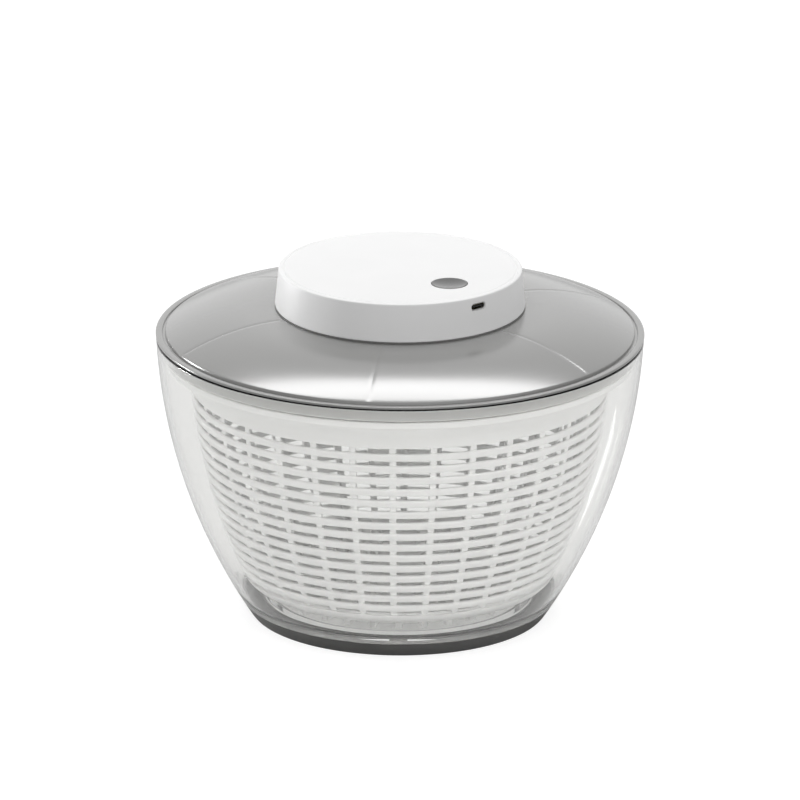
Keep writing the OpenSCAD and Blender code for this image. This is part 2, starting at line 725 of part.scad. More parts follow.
module planet_pins() color("Silver") around(planet_count) translate([planet_at, 0, 0])
    rod(planet_pin_r, carrier_z, gear_z + gear_w + 2 * slide_fit);

module output_shaft() color("Silver") difference() {
    rod(shaft_r, shaft_low_z, carrier_top_z);
    translate([shaft_flat, -shaft_r, shaft_low_z - eps])
        cube([shaft_r, 2 * shaft_r, plate_hub_top_z - shaft_low_z + eps]);
    rod(plate_screw_r, shaft_low_z - eps, plate_hub_top_z + 2 * eps);
}

module output_bush() color("Peru") tube(bush_out_r, bush_bore_r, seal_top_z, well_floor_z);
module shaft_seal() color("Black") tube(bush_out_r, shaft_r + run_fit, seal_low_z, seal_top_z);

module gearbox_plate() color("Silver") difference() {
    rod(ring_gear_r, gear_plate_z, motor_z);
    rod(motor_boss_r + slide_fit / 2, gear_plate_z - eps, motor_z + eps);
    at_gear_screws() rod(gear_screw_r + slide_fit / 2, gear_plate_z - eps, motor_z + eps);
    around(2) translate([motor_screw_at, 0, 0]) {
        rod(motor_screw_r + run_fit, gear_plate_z - eps, motor_z + eps);
        translate([0, 0, gear_plate_z - run_fit])
            cylinder(r1 = motor_screw_head_r, r2 = motor_screw_r, h = motor_screw_cone + run_fit);
    }
}

module gearbox_screws() color("DimGray") at_gear_screws() {
    rod(small_head_r, motor_z, motor_z + small_head_h);
    rod(gear_screw_r, gear_screw_low_z + slide_fit, motor_z + small_head_h / 2);
}

// ---- Drive plate ----

module drive_plate() color("WhiteSmoke") difference() {
    union() {
        rotate_extrude() polygon([
            [0, plate_hub_z], [plate_hub_r, plate_hub_z],
            [plate_hub_r + plate_slant, plate_web_z - plate_hub_slope + plate_slant],
            [plate_hub_r + plate_hub_slope, plate_web_z],
            [plate_web_r, plate_web_z], [plate_step_r, plate_edge_z], [plate_r, plate_edge_z],
            [plate_r, plate_edge_z + plate_t], [plate_step_r + plate_slant, plate_edge_z + plate_t],
            [plate_web_r + plate_slant, plate_hub_top_z], [0, plate_hub_top_z]
        ]);
        around(lug_count) translate([lug_r, -lug_w / 2, lug_low_z])
            cube([lug_t, lug_w, plate_edge_z + plate_t / 2 - lug_low_z]);
        around(plate_rib_count) translate([plate_hub_r, -plate_rib_w / 2, plate_web_z - plate_rib_h])
            cube([plate_web_r - plate_hub_r - 1, plate_rib_w, plate_rib_h + eps]);
    }
    difference() {
        rod(shaft_r + shaft_fit, plate_hub_z - eps, plate_hub_top_z + eps);
        translate([shaft_flat + shaft_fit, -shaft_r - eps, plate_hub_z - 2 * eps])
            cube([shaft_r, 2 * (shaft_r + eps), plate_hub_top_z - plate_hub_z + 4 * eps]);
    }
    for (row = plate_slot_rows) around(row[2], plate_slot_start)
        translate([row[0], -plate_slot_w / 2, plate_web_z - plate_rib_h - eps])
            cube([row[1] - row[0], plate_slot_w, plate_t + plate_rib_h + 2 * eps]);
}

module plate_washer() color("Silver")
    tube(washer_r, plate_screw_r + slide_fit / 2, plate_hub_z - washer_t, plate_hub_z);

module plate_screw() color("Silver") {
    rod(screw_head_r, plate_hub_z - washer_t - screw_head_h, plate_hub_z - washer_t);
    rod(plate_screw_r, plate_hub_z - washer_t - screw_head_h / 2, plate_hub_top_z);
}

// ---- Motor ----

module motor_can() color("Silver") difference() {
    union() {
        rod(motor_r, motor_z, motor_top_z);
        rod(motor_boss_r, motor_boss_z, motor_z + eps);
    }
    rod(motor_r - can_t, motor_z + can_t, motor_top_z + eps);
    rod(motor_bush_r, motor_boss_z - eps, motor_z + can_t + eps);
    around(2) translate([motor_screw_at, 0, 0]) rod(motor_screw_r, motor_z - eps, motor_z + can_t + eps);
}

module motor_magnets() color("DimGray") for (s = [0, 180]) rotate([0, 0, s - 70])
    rotate_extrude(angle = 140) translate([motor_r - can_t - magnet_t, motor_z + magnet_low_gap])
        square([magnet_t, motor_h - magnet_low_gap - magnet_top_gap]);

module motor_end_cap() color("Ivory") difference() {
    union() {
        rod(motor_r - can_t / 2, motor_top_z, motor_top_z + end_cap_t);
        rod(motor_r - can_t, motor_top_z - end_cap_plug, motor_top_z + eps);
    }
    rod(motor_bush_r, motor_top_z - end_cap_plug - eps, motor_top_z + end_cap_t - end_cap_skin);
}

module motor_bushes() color("Peru") {
    tube(motor_bush_r, motor_shaft_r + run_fit, motor_boss_z, motor_z + can_t);
    tube(motor_bush_r, motor_shaft_r + run_fit, motor_top_z - end_cap_plug,
        motor_top_z + end_cap_t - end_cap_skin);
}

module motor_screws() color("DimGray") around(2) translate([motor_screw_at, 0, gear_plate_z]) {
    cylinder(r1 = motor_screw_head_r - 2 * run_fit, r2 = motor_screw_r,
        h = motor_screw_cone - 2 * run_fit);
    cylinder(r = motor_screw_r, h = gear_plate_t + can_t);
}

module armature() color("Peru") difference() {
    union() {
        rod(armature_r, motor_z + core_low_gap, motor_top_z - core_top_gap);
        rod(commutator_r, motor_top_z - core_top_gap - eps, motor_top_z - commutator_h);
    }
    rod(motor_shaft_r, motor_z, motor_top_z);
}

module motor_shaft() color("Silver")
    rod(motor_shaft_r, gear_z, motor_top_z + end_cap_t - end_cap_skin - spin_gap / 2);

bowl();
base_ring();
pivot_pin();
pivot_bush();
basket();
lid();
drive_plate();
plate_washer();
plate_screw();
output_shaft();
planet_carrier();
planet_pins();
planet_gear_1();
planet_gear_2();
planet_gear_3();
sun_gear();
ring_gear();
gearbox_plate();
gearbox_screws();
output_bush();
shaft_seal();
head_base();
head_seal();
head_cover();
head_screws();
button_cap();
switch_plunger();
tact_switch();
circuit_board();
board_screws();
usb_port();
battery_cell();
motor_can();
motor_magnets();
motor_end_cap();
motor_bushes();
motor_screws();
armature();
motor_shaft();
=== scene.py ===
import json
import re
from math import acos, asin, atan2, cos, degrees, hypot, pi, radians, sin, sqrt, tan

import bmesh
import bpy
from mathutils import Matrix, Vector


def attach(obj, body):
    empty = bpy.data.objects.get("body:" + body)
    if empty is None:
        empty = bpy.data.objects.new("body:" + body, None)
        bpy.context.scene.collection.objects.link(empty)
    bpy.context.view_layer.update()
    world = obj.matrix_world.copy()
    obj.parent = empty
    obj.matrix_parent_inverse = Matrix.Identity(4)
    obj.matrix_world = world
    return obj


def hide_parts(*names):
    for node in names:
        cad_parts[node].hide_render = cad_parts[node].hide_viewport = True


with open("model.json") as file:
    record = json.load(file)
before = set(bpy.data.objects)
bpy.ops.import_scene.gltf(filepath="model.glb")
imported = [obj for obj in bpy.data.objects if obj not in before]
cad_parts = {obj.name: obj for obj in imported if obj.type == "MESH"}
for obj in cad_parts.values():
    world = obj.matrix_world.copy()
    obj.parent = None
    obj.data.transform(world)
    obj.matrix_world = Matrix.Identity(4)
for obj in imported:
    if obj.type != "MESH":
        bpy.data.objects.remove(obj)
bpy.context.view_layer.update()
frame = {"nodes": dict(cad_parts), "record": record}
scene = bpy.context.scene
scene.cycles.blur_glossy = 0.0  # light finds its way through the clear bowl
mm, degree = 0.001, pi / 180
print("frame loaded:", len(frame["nodes"]), "nodes")


# small helpers that build node trees

class Wire:  # one output socket, with sums and products that add Math nodes
    def __init__(self, graph, socket):
        self.graph, self.socket = graph, socket

    def maths(self, operation, *others):
        return self.graph.shade("Math", dict(enumerate((self,) + others)), {"operation": operation})

    def flipped(self, operation, other):
        return self.graph.shade("Math", {0: other, 1: self}, {"operation": operation})

    def __add__(self, other): return self.maths("ADD", other)
    def __sub__(self, other): return self.maths("SUBTRACT", other)
    def __mul__(self, other): return self.maths("MULTIPLY", other)
    def __truediv__(self, other): return self.maths("DIVIDE", other)
    def __pow__(self, other): return self.maths("POWER", other)
    def __gt__(self, other): return self.maths("GREATER_THAN", other)
    def __lt__(self, other): return self.maths("LESS_THAN", other)
    def __radd__(self, other): return self.flipped("ADD", other)
    def __rsub__(self, other): return self.flipped("SUBTRACT", other)
    def __rmul__(self, other): return self.flipped("MULTIPLY", other)
    def __rtruediv__(self, other): return self.flipped("DIVIDE", other)
    def __neg__(self): return self * -1.0
    def __abs__(self): return self.maths("ABSOLUTE")

    def other(self, name):  # another output of the same node
        return Wire(self.graph, self.socket.node.outputs[name])


class Graph:
    def __init__(self, tree):
        self.tree = tree

    def add(self, kind, values=None, settings=None):
        node = self.tree.nodes.new(kind)
        for key, value in (settings or {}).items():
            setattr(node, key, value)
        for key, value in (values or {}).items():
            self.feed(node.inputs[key], value)
        return Wire(self, node.outputs[0]) if len(node.outputs) else node

    def feed(self, socket, value):
        if isinstance(value, Wire):
            self.tree.links.new(value.socket, socket)
        elif isinstance(value, (list, tuple)) and value and isinstance(value[0], Wire):
            for one in value:
                self.tree.links.new(one.socket, socket)
        else:
            socket.default_value = value

    def shape(self, kind, *rest):
        return self.add("GeometryNode" + kind, *rest)

    def shade(self, kind, *rest):
        return self.add("ShaderNode" + kind, *rest)

    def moved(self, piece, place=(0.0, 0.0, 0.0), turn=(0.0, 0.0, 0.0)):
        return self.shape("Transform", {"Geometry": piece, "Translation": place, "Rotation": turn})

    def swept(self, curve, outline, caps=False):
        return self.shape("CurveToMesh", {"Curve": curve, "Profile Curve": outline, "Fill Caps": caps})

    def vector(self, x=0.0, y=0.0, z=0.0):
        return self.shade("CombineXYZ", {0: x, 1: y, 2: z})

    def polar(self, radius, angle, height):
        return self.vector(radius * angle.maths("COSINE"), radius * angle.maths("SINE"), height)

    def parts(self, vector, part="X"):
        return self.shade("SeparateXYZ", {0: vector}).other(part)

    def fromAxis(self, parts):  # how far a place is from the upright axis
        return (parts ** 2.0 + parts.other("Y") ** 2.0) ** 0.5

    def smooth(self, value, low, high):  # 0 to 1 from low to high, eased at both ends
        return self.shade("MapRange", {"Value": value, "From Min": low, "From Max": high},
                          {"interpolation_type": "SMOOTHSTEP"})

    def mixColour(self, share, first, second):
        return self.shade("Mix", {0: share, 6: first, 7: second}, {"data_type": "RGBA"}).other(2)


def labelOf(key):  # barDepth becomes Bar depth
    return re.sub(r"([A-Z]|\d+)", r" \1", key).capitalize()


def newTree(name, counts, sizes=()):  # a geometry tree with one named input for each count and size
    tree = bpy.data.node_groups.new(name, "GeometryNodeTree")
    tree.interface.new_socket("Geometry", in_out="INPUT", socket_type="NodeSocketGeometry")
    for keys, kind in ((counts, "NodeSocketInt"), (sizes, "NodeSocketFloat"), (["material"], "NodeSocketMaterial")):
        for key in keys:
            tree.interface.new_socket(labelOf(key), in_out="INPUT", socket_type=kind)
    tree.interface.new_socket("Geometry", in_out="OUTPUT", socket_type="NodeSocketGeometry")
    graph = Graph(tree)
    start = tree.nodes.new("NodeGroupInput")
    graph.ends = {key: Wire(graph, start.outputs[labelOf(key)]) for key in ("geometry", "material", *counts, *sizes)}
    return graph, graph.ends


def closeTree(graph, geometry):  # every tree ends the same way
    whole = graph.shape("RealizeInstances", {0: geometry})
    dressed = graph.shape("SetMaterial", {"Geometry": whole, "Material": graph.ends["material"]})
    graph.feed(graph.tree.nodes.new("NodeGroupOutput").inputs[0], dressed)
    return graph.tree


def roundAxis(graph, piece, count, start=0.0):  # copies a piece round the upright axis
    turnBy = graph.shape("InputIndex") * (2 * pi) / count + start
    return graph.shape("InstanceOnPoints", {
        "Points": graph.shape("Points", {"Count": count}), "Instance": piece, "Rotation": graph.vector(z=turnBy)})


def upright(graph, curve):  # so that what is swept along the curve stands straight
    return graph.shape("SetCurveNormal", {"Curve": curve}, {"mode": "Z_UP"})


def cutAway(graph, body, tools, crossing=False):
    return graph.shape("MeshBoolean", {"Mesh 1": body, "Mesh 2": tools, "Self Intersection": crossing},
                       {"operation": "DIFFERENCE", "solver": "EXACT"})


def fed(sizes, scale, *keys):  # values for the tree inputs that go by the same names
    return {key: sizes[key] * scale for key in keys}


def added(name, data):
    thing = bpy.data.objects.new(name, data)
    scene.collection.objects.link(thing)
    return thing


def finished(piece, sharp):  # smooth faces, with an edge kept where they meet at more than the sharp angle
    mesh = piece.data
    mesh.polygons.foreach_set("use_smooth", [True] * len(mesh.polygons))
    mesh.set_sharp_from_angle(angle=radians(sharp))
    print("made", piece.name, len(mesh.polygons), "faces")
    return piece


def grown(name, points, tree, sizes, slot, sharp=32):  # runs a tree on an outline and keeps the plain result
    piece = added(name, outlineMesh(name, points))
    modifier = piece.modifiers.new("shape", "NODES")
    modifier.node_group = tree
    places = {item.name: item.identifier for item in tree.interface.items_tree if item.in_out == "INPUT"}
    for key, value in {**sizes, "material": looks[slot]}.items():
        modifier[places[labelOf(key)]] = value
    result = bpy.data.meshes.new_from_object(piece.evaluated_get(bpy.context.evaluated_depsgraph_get()))
    piece.modifiers.remove(modifier)
    piece.data = result
    result.name = name
    return finished(piece, sharp)


# outlines as (radius, height) points

def arcCentre(first, second, radius):
    (a, b), (c, d) = first, second
    span = hypot(c - a, d - b)
    rise = sqrt(radius * radius - span * span / 4) / span
    return (a + c) / 2 - (d - b) * rise, (b + d) / 2 + (c - a) * rise


def arcPoints(centre, radius, start, end, steps):
    turns = [radians(start + (end - start) * i / steps) for i in range(steps + 1)]
    return [(centre[0] + radius * cos(t), centre[1] + radius * sin(t)) for t in turns]


def arcReach(centre, radius, height):
    return centre[0] + sqrt(radius ** 2 - (height - centre[1]) ** 2)


def arcAngle(centre, radius, height):
    return degrees(asin((height - centre[1]) / radius))


def angleOf(centre, point):
    return degrees(atan2(point[1] - centre[1], point[0] - centre[0]))


def filletCentre(centre, radius, fillet, height):
    z = height + fillet
    return centre[0] + sqrt((radius - fillet) ** 2 - (z - centre[1]) ** 2), z


turning = {"circle": 1.0, "segments": 192, "merge": 2e-6}  # the outline is swept round a circle of 1 m


def outlineMesh(name, points):  # (radius, height) points in mm as a closed wire that the sweep reads
    spun = [(r * mm - turning["circle"], -z * mm, 0) for r, z in rounded(points)]
    area = sum(a[0] * b[1] - b[0] * a[1] for a, b in zip(spun, spun[1:] + spun[:1]))
    if area < 0:
        spun.reverse()
    mesh = bpy.data.meshes.new(name)
    mesh.from_pydata(spun, [(i, (i + 1) % len(spun)) for i in range(len(spun))], [])
    return mesh


def turn(graph):
    circle = graph.shape("CurvePrimitiveCircle", {"Resolution": graph.ends["segments"], "Radius": turning["circle"]})
    swept = graph.swept(upright(graph, circle), graph.shape("MeshToCurve", {0: graph.ends["geometry"]}))
    return graph.shape("MergeByDistance", {"Geometry": swept, "Distance": turning["merge"]})


turnedGraph = newTree("turnedPiece", ["segments"])[0]
turnedTree = closeTree(turnedGraph, turn(turnedGraph))


def turned(name, points, slot, segments=turning["segments"]):
    return grown(name, points, turnedTree, {"segments": segments}, slot)


def rounded(points, steps=4):  # points of (radius, height, rounding), where each rounding becomes a small arc
    straight = 1.55  # a half angle past which there is no corner to round
    done = []
    for i, corner in enumerate(points):
        here = Vector(corner[:2])
        before = Vector(points[i - 1][:2]) - here
        after = Vector(points[(i + 1) % len(points)][:2]) - here
        half = before.angle(after, pi) / 2
        if len(corner) == 2 or not corner[2] or half > straight:
            done.append(tuple(corner[:2]))
            continue
        reach = min(corner[2] / tan(half), before.length * 0.49, after.length * 0.49)
        radius = reach * tan(half)
        centre = here + (before.normalized() + after.normalized()).normalized() * (radius / sin(half))
        first = here + before.normalized() * reach - centre
        sweep = first.angle_signed(here + after.normalized() * reach - centre)
        for k in range(steps + 1):
            turnBy = -sweep * k / steps
            done.append((centre[0] + first[0] * cos(turnBy) - first[1] * sin(turnBy),
                         centre[1] + first[0] * sin(turnBy) + first[1] * cos(turnBy)))
    return done


# camera, floor and light

view = {"aim": (0.00015, 0.0, 0.1122), "distance": 6.0, "elevation": 18.3, "focal": 527.0, "roll": 0.3}


def placeCamera():
    camera = added("camera", bpy.data.cameras.new("camera"))
    rise = radians(view["elevation"])
    back = Vector((0, -cos(rise), sin(rise)))
    camera.location = Vector(view["aim"]) + back * view["distance"]
    turn = back.to_track_quat("Z", "Y").to_matrix().to_4x4()
    camera.rotation_euler = (turn @ Matrix.Rotation(radians(view["roll"]), 4, "Z")).to_euler()
    camera.data.lens = view["focal"]
    camera.data.sensor_width = 36
    camera.data.clip_end = 60
    scene.camera = camera


placeCamera()
scene.view_settings.view_transform = "Standard"

studio = {
    "background": 1.0, "ambient": 0.54, "mirrored": 0.9,  # the world as the camera, the surfaces and gloss meet it
    "front": 0.65, "frontAt": (0.42, -0.75, 0.51), "sides": 0.25,  # brighter from the front, darker from both sides
    "within": 2.0, "withinFrom": 1.5,  # more light for what has come in through the clear bowl and met two surfaces
    "floorSize": 16.0, "floorGlow": 0.86, "floorTone": 0.25, "floorBounce": 0.5, "floorMirrored": 0.2,
    "floorThrough": 0.45,
    "lamps": {"softLamp": {"power": 12.8, "size": (1.5, 0.48), "at": (0.0, 0.6, 1.52)},  # above the lid
              "sideLamp": {"power": 14.0, "size": (0.35, 0.35), "at": (-1.6, 0.75, 0.25)}},  # along the left side
    "lampAim": (0, 0, 0.12)}


def emptyNodes(owner):
    owner.use_nodes = True
    owner.node_tree.nodes.clear()
    return Graph(owner.node_tree)


def grey(level, warm=0.0):  # a near-neutral colour; warm shifts it towards yellow
    return (level, level, level * (1 - warm), 1)


def seenRays(graph, through, mirrored):  # how far each kind of ray meets the pale background
    path = graph.shade("LightPath")
    return (path + path.other("Is Transmission Ray") * through
            + path.other("Is Glossy Ray") * mirrored).maths("MINIMUM", 1.0)


def lightStudio():
    world = bpy.data.worlds.new("studio")
    graph = emptyNodes(world)
    share = (studio["mirrored"] - studio["ambient"]) / (studio["background"] - studio["ambient"])
    strength = seenRays(graph, 1.0, share) * (studio["background"] - studio["ambient"]) + studio["ambient"]
    way = graph.shade("TexCoord").other("Generated")
    facing = graph.shade("VectorMath", {0: way, 1: studio["frontAt"]}, {"operation": "DOT_PRODUCT"}).other("Value")
    path = graph.shade("LightPath")
    within = path.other("Is Transmission Ray") * (path.other("Diffuse Depth") > studio["withinFrom"])
    shape = facing.maths("MAXIMUM", 0.0) ** 2.0 * studio["front"] - graph.parts(way) ** 2.0 * studio["sides"]
    strength = strength * (shape * (1.0 - path) + 1.0) * (within * studio["within"] + 1.0)
    graph.shade("OutputWorld", {"Surface": graph.shade("Background", {"Color": grey(1), "Strength": strength})})
    scene.world = world
    for name, sizes in studio["lamps"].items():
        lamp = added(name, bpy.data.lights.new(name, "AREA"))
        lamp.data.shape = "RECTANGLE"
        lamp.data.size, lamp.data.size_y = sizes["size"]
        lamp.data.energy = sizes["power"]
        lamp.location = sizes["at"]
        lamp.rotation_euler = (lamp.location - Vector(studio["lampAim"])).to_track_quat("Z", "Y").to_euler()


def layFloor():
    half = studio["floorSize"] / 2
    mesh = bpy.data.meshes.new("floor")
    mesh.from_pydata([(-half, -half, 0), (half, -half, 0), (half, half, 0), (-half, half, 0)], [], [(0, 1, 2, 3)])
    floor = added("floor", mesh)
    material = bpy.data.materials.new("paleFloor")
    graph = emptyNodes(material)
    seen = graph.shade("AddShader", {
        0: graph.shade("BsdfDiffuse", {"Color": grey(studio["floorTone"])}),
        1: graph.shade("Emission", {"Color": grey(1), "Strength": studio["floorGlow"]})})
    plain = graph.shade("BsdfDiffuse", {"Color": grey(studio["floorBounce"])})
    graph.shade("OutputMaterial", {"Surface": graph.shade("MixShader", {
        0: seenRays(graph, studio["floorThrough"], studio["floorMirrored"]), 1: plain, 2: seen})})
    mesh.materials.append(material)


lightStudio()
layFloor()
print("camera, light and floor set")


# finishes

def finish(name, fixed, build):  # a shader with fixed sockets, and a function that makes what varies
    material = bpy.data.materials.new(name)
    graph = emptyNodes(material)
    shader = graph.shade("BsdfPrincipled", fixed)
    varied = build(graph, graph.shade("TexCoord").other("Object"))
    for socket, value in zip(("Base Color", "Roughness", "Normal", "Metallic"), varied):
        graph.feed(shader.socket.node.inputs[socket], value)
    graph.shade("OutputMaterial", {"Surface": shader})
    return material


def noise(graph, place, scale, detail=3.0, spread=0.55):
    return graph.shade("TexNoise", {"Vector": place, "Scale": scale, "Detail": detail, "Roughness": spread})


def bump(graph, height, distance, strength=1.0):
    return graph.shade("Bump", {"Height": height, "Distance": distance, "Strength": strength})


def clouded(graph, cloud, level, warm, change):  # two tones of one colour, a little apart
    return graph.mixColour(cloud, grey(level - change, warm), grey(level + change, warm))


def tarnished(graph, cloud, colour, share):  # a colour that is dimmer in patches
    return graph.mixColour(cloud, (*(part * share for part in colour[:3]), 1), colour)


def turnedUp(graph):  # 1 where a surface faces up, -1 where it faces down
    return graph.parts(graph.shade("NewGeometry").other("Normal"), "Z")


def mouldedPlastic(name, level, warm=0.01, rough=0.35, grain=0.00002, grainScale=2600, sheen=0.5, soft=0.0, coat=0.0):
    def build(graph, place):
        cloud = noise(graph, place, 45, 2)
        fine = noise(graph, place, grainScale, 2)
        return (clouded(graph, cloud, level, warm, level * 0.02), cloud * 0.08 + (rough - 0.04),
                bump(graph, fine, grain))
    return finish(name, {"Specular IOR Level": sheen, "Coat Weight": coat, "Coat Roughness": 0.2,
                         "Subsurface Weight": soft, "Subsurface Radius": (1.0, 1.0, 1.0), "Subsurface Scale": 0.003},
                  build)


def clearPlastic(name, tint, warm=0.01, rough=0.01, frost=0.85, frostBelow=-0.8):
    def build(graph, place):
        cloud = noise(graph, place, 30, 2)
        ripple = noise(graph, place, 14, 1)
        frosted = (turnedUp(graph) < frostBelow) * frost  # the underside is left matt
        return (clouded(graph, cloud, tint, warm, 0.004), cloud * 0.02 + frosted + rough,
                bump(graph, ripple, 0.0004, 0.15))
    return finish(name, {"Transmission Weight": 1.0, "IOR": 1.49}, build)


# the lip tone is a near-black painted shadow on the flange's underside
# the skirt tone is a lighter grey, painted light for what comes through the translucent lid
lidTones = {"warm": 0.02, "skirt": 0.42, "skirtFrom": 0.1472, "skirtTo": 0.1464, "under": 0.75, "lip": 0.02,
            "lipShadowFrom": 0.1213}


def satinSmoke(name, level):  # the lid: pearly grey with a soft gloss, milky below, with a painted shadow under the lip and painted light on the skirt
    def build(graph, place):
        cloud = noise(graph, place, 18, 2)
        pearl = noise(graph, place, 3800, 2)
        parts = graph.parts(place)
        inside = graph.smooth(turnedUp(graph), -0.05, -0.25)
        # painted light: below this height the skirt takes the lighter grey
        skirt = graph.smooth(parts.other("Z"), lidTones["skirtFrom"], lidTones["skirtTo"])
        outer = graph.mixColour(skirt, clouded(graph, cloud, level, 0.03, level * 0.015),
                                grey(lidTones["skirt"], lidTones["warm"]))
        lip = graph.fromAxis(parts) > lidTones["lipShadowFrom"]  # near-black painted shadow under the lip, where the lid's flange meets the bowl's rim
        under = graph.mixColour(lip, grey(lidTones["under"], lidTones["warm"]), grey(lidTones["lip"]))
        return graph.mixColour(inside, outer, under), pearl * 0.04 + 0.2, bump(graph, pearl, 0.000012)
    return finish(name, {"Specular IOR Level": 0.85, "Coat Weight": 1.0, "Coat Roughness": 0.18, "Coat IOR": 1.5},
                  build)


def softRubber(name, level):
    def build(graph, place):
        cloud = noise(graph, place, 60, 3)
        fine = noise(graph, place, 3000, 3)
        return clouded(graph, cloud, level, 0.03, level * 0.12), cloud * 0.12 + 0.5, bump(graph, fine, 0.00004)
    return finish(name, {"Specular IOR Level": 0.45}, build)


def turnedMetal(name, colour, rough=0.22, rings=2200):  # fine lathe marks round the upright axis
    def build(graph, place):
        parts = graph.parts(place)
        marks = noise(graph, graph.vector(graph.fromAxis(parts) * rings, parts.other("Z") * rings), 1.0, 2)
        cloud = noise(graph, place, 90, 3)
        return tarnished(graph, cloud, colour, 0.86), marks * 0.14 + (rough - 0.05), bump(graph, marks, 0.000008)
    return finish(name, {"Metallic": 1.0}, build)


def sinteredMetal(name, colour, rough=0.45):
    def build(graph, place):
        grains = graph.shade("TexVoronoi", {"Vector": place, "Scale": 2600.0})
        cloud = noise(graph, place, 300, 3)
        return tarnished(graph, cloud, colour, 0.75), cloud * 0.2 + rough - 0.1, bump(graph, grains, 0.00002)
    return finish(name, {"Metallic": 0.9}, build)


def copperWindings(name, strands=180.0, layers=9000.0, poles=5.0, poleWidth=0.55):  # strands between the core's poles
    def build(graph, place):
        parts = graph.parts(place)
        turnAt = parts.other("Y").maths("ARCTAN2", parts)
        strand = (turnAt * strands).maths("SINE") * 0.5 + 0.5
        layer = (parts.other("Z") * layers).maths("SINE") * 0.5 + 0.5
        pole = (turnAt * poles).maths("COSINE") > poleWidth
        wound = graph.mixColour(strand * layer, (0.32, 0.10, 0.035, 1), (0.88, 0.38, 0.16, 1))
        return (graph.mixColour(pole, wound, (0.32, 0.32, 0.33, 1)), strand * 0.2 + 0.25,
                bump(graph, strand * layer, 0.00006))
    return finish(name, {"Metallic": 0.85}, build)


def boardGreen(name):  # solder mask over copper tracks, with bare pads
    def build(graph, place):
        tracks = graph.shade("TexBrick", {
            "Vector": place, "Scale": 260.0, "Mortar Size": 0.055, "Mortar Smooth": 0.2, "Brick Width": 0.9,
            "Row Height": 0.3}, {"offset": 0.5, "squash": 1.0}).other("Fac")
        pads = graph.shade("TexVoronoi", {"Vector": place, "Scale": 420.0, "Randomness": 0.35}) < 0.16
        mask = graph.mixColour(tracks, (0.006, 0.12, 0.045, 1), (0.012, 0.2, 0.08, 1))
        return (graph.mixColour(pads, mask, (0.75, 0.73, 0.68, 1)), 0.42 - pads * 0.15,
                bump(graph, tracks + pads, 0.00004), pads * 0.9)
    return finish(name, {"Specular IOR Level": 0.5}, build)


def cellWrap(name):  # a shrink film over the cell, slightly crinkled
    def build(graph, place):
        crinkle = noise(graph, place, 220, 4, 0.6)
        cloud = noise(graph, place, 30, 2)
        film = graph.mixColour(cloud, (0.06, 0.16, 0.30, 1), (0.08, 0.21, 0.38, 1))
        return film, crinkle * 0.2 + 0.2, bump(graph, crinkle, 0.0003, 0.5)
    return finish(name, {"Specular IOR Level": 0.5}, build)


def ferriteBlack(name):
    def build(graph, place):
        grains = noise(graph, place, 1800, 4)
        return graph.mixColour(grains, grey(0.035), grey(0.075)), grains * 0.25 + 0.5, bump(graph, grains, 0.00008)
    return finish(name, {"Specular IOR Level": 0.4}, build)


looks = {  # one finish for each material slot of the record
    "clear_plastic": clearPlastic("clearBowl", 0.92),
    "smoke_plastic": satinSmoke("satinLid", 0.21),
    "basket_plastic": mouldedPlastic("basketWhite", 0.8, 0.005, 0.4, soft=0.4),
    "white_plastic": mouldedPlastic("headWhite", 0.84, 0.0, 0.42),
    "dark_silicone": softRubber("darkSilicone", 0.13),
    "grey_plastic": mouldedPlastic("buttonGrey", 0.045, 0.0, 0.2, 0.00001, sheen=0.6, coat=0.5),
    "black_plastic": mouldedPlastic("socketBlack", 0.018, 0.0, 0.35),
    "acetal": mouldedPlastic("gearAcetal", 0.78, 0.06, 0.32, soft=0.05),
    "board_green": boardGreen("boardGreen"),
    "cell_wrap": cellWrap("cellWrap"),
    "steel": turnedMetal("brightSteel", (0.72, 0.72, 0.70, 1)),
    "bronze": sinteredMetal("oiledBronze", (0.55, 0.33, 0.15, 1)),
    "brass": turnedMetal("gearBrass", (0.80, 0.60, 0.26, 1), 0.26),
    "ferrite": ferriteBlack("ferriteMagnet"),
    "copper_windings": copperWindings("copperWindings"),
}


def dressSolids():  # every solid shows the finish of its own slot
    slots = {part["node"]: part["material_slot"] for part in frame["record"]["subparts"]}
    for name, solid in frame["nodes"].items():
        for place in solid.material_slots:
            place.material = looks[slots[name]]


dressSolids()
print("finishes ready:", len(looks))


# the bowl and its soft ring

bowl = {"rimRadius": 124.8, "baseRadius": 81.0, "height": 147.3, "arc": 289.0, "wall": 2.6, "floorTop": 11.4,
        "floorBottom": 8.4, "corner": 6.0, "footOuter": 75.0, "footInner": 71.0, "footLow": 2.6,
        "ringHeight": 8.0, "toe": 0.8, "bossRadius": 10.0, "bossTop": 14.4, "pinRadius": 2.96, "pinSeat": 9.4,
        "steps": 40, "bond": 0.05, "grooveAt": 67.2, "grooveDeep": 2.3, "bossRound": 0.8}
bowlCentre = arcCentre((bowl["baseRadius"], bowl["ringHeight"]), (bowl["rimRadius"], bowl["height"]), bowl["arc"])
bowlInner = bowl["arc"] - bowl["wall"]


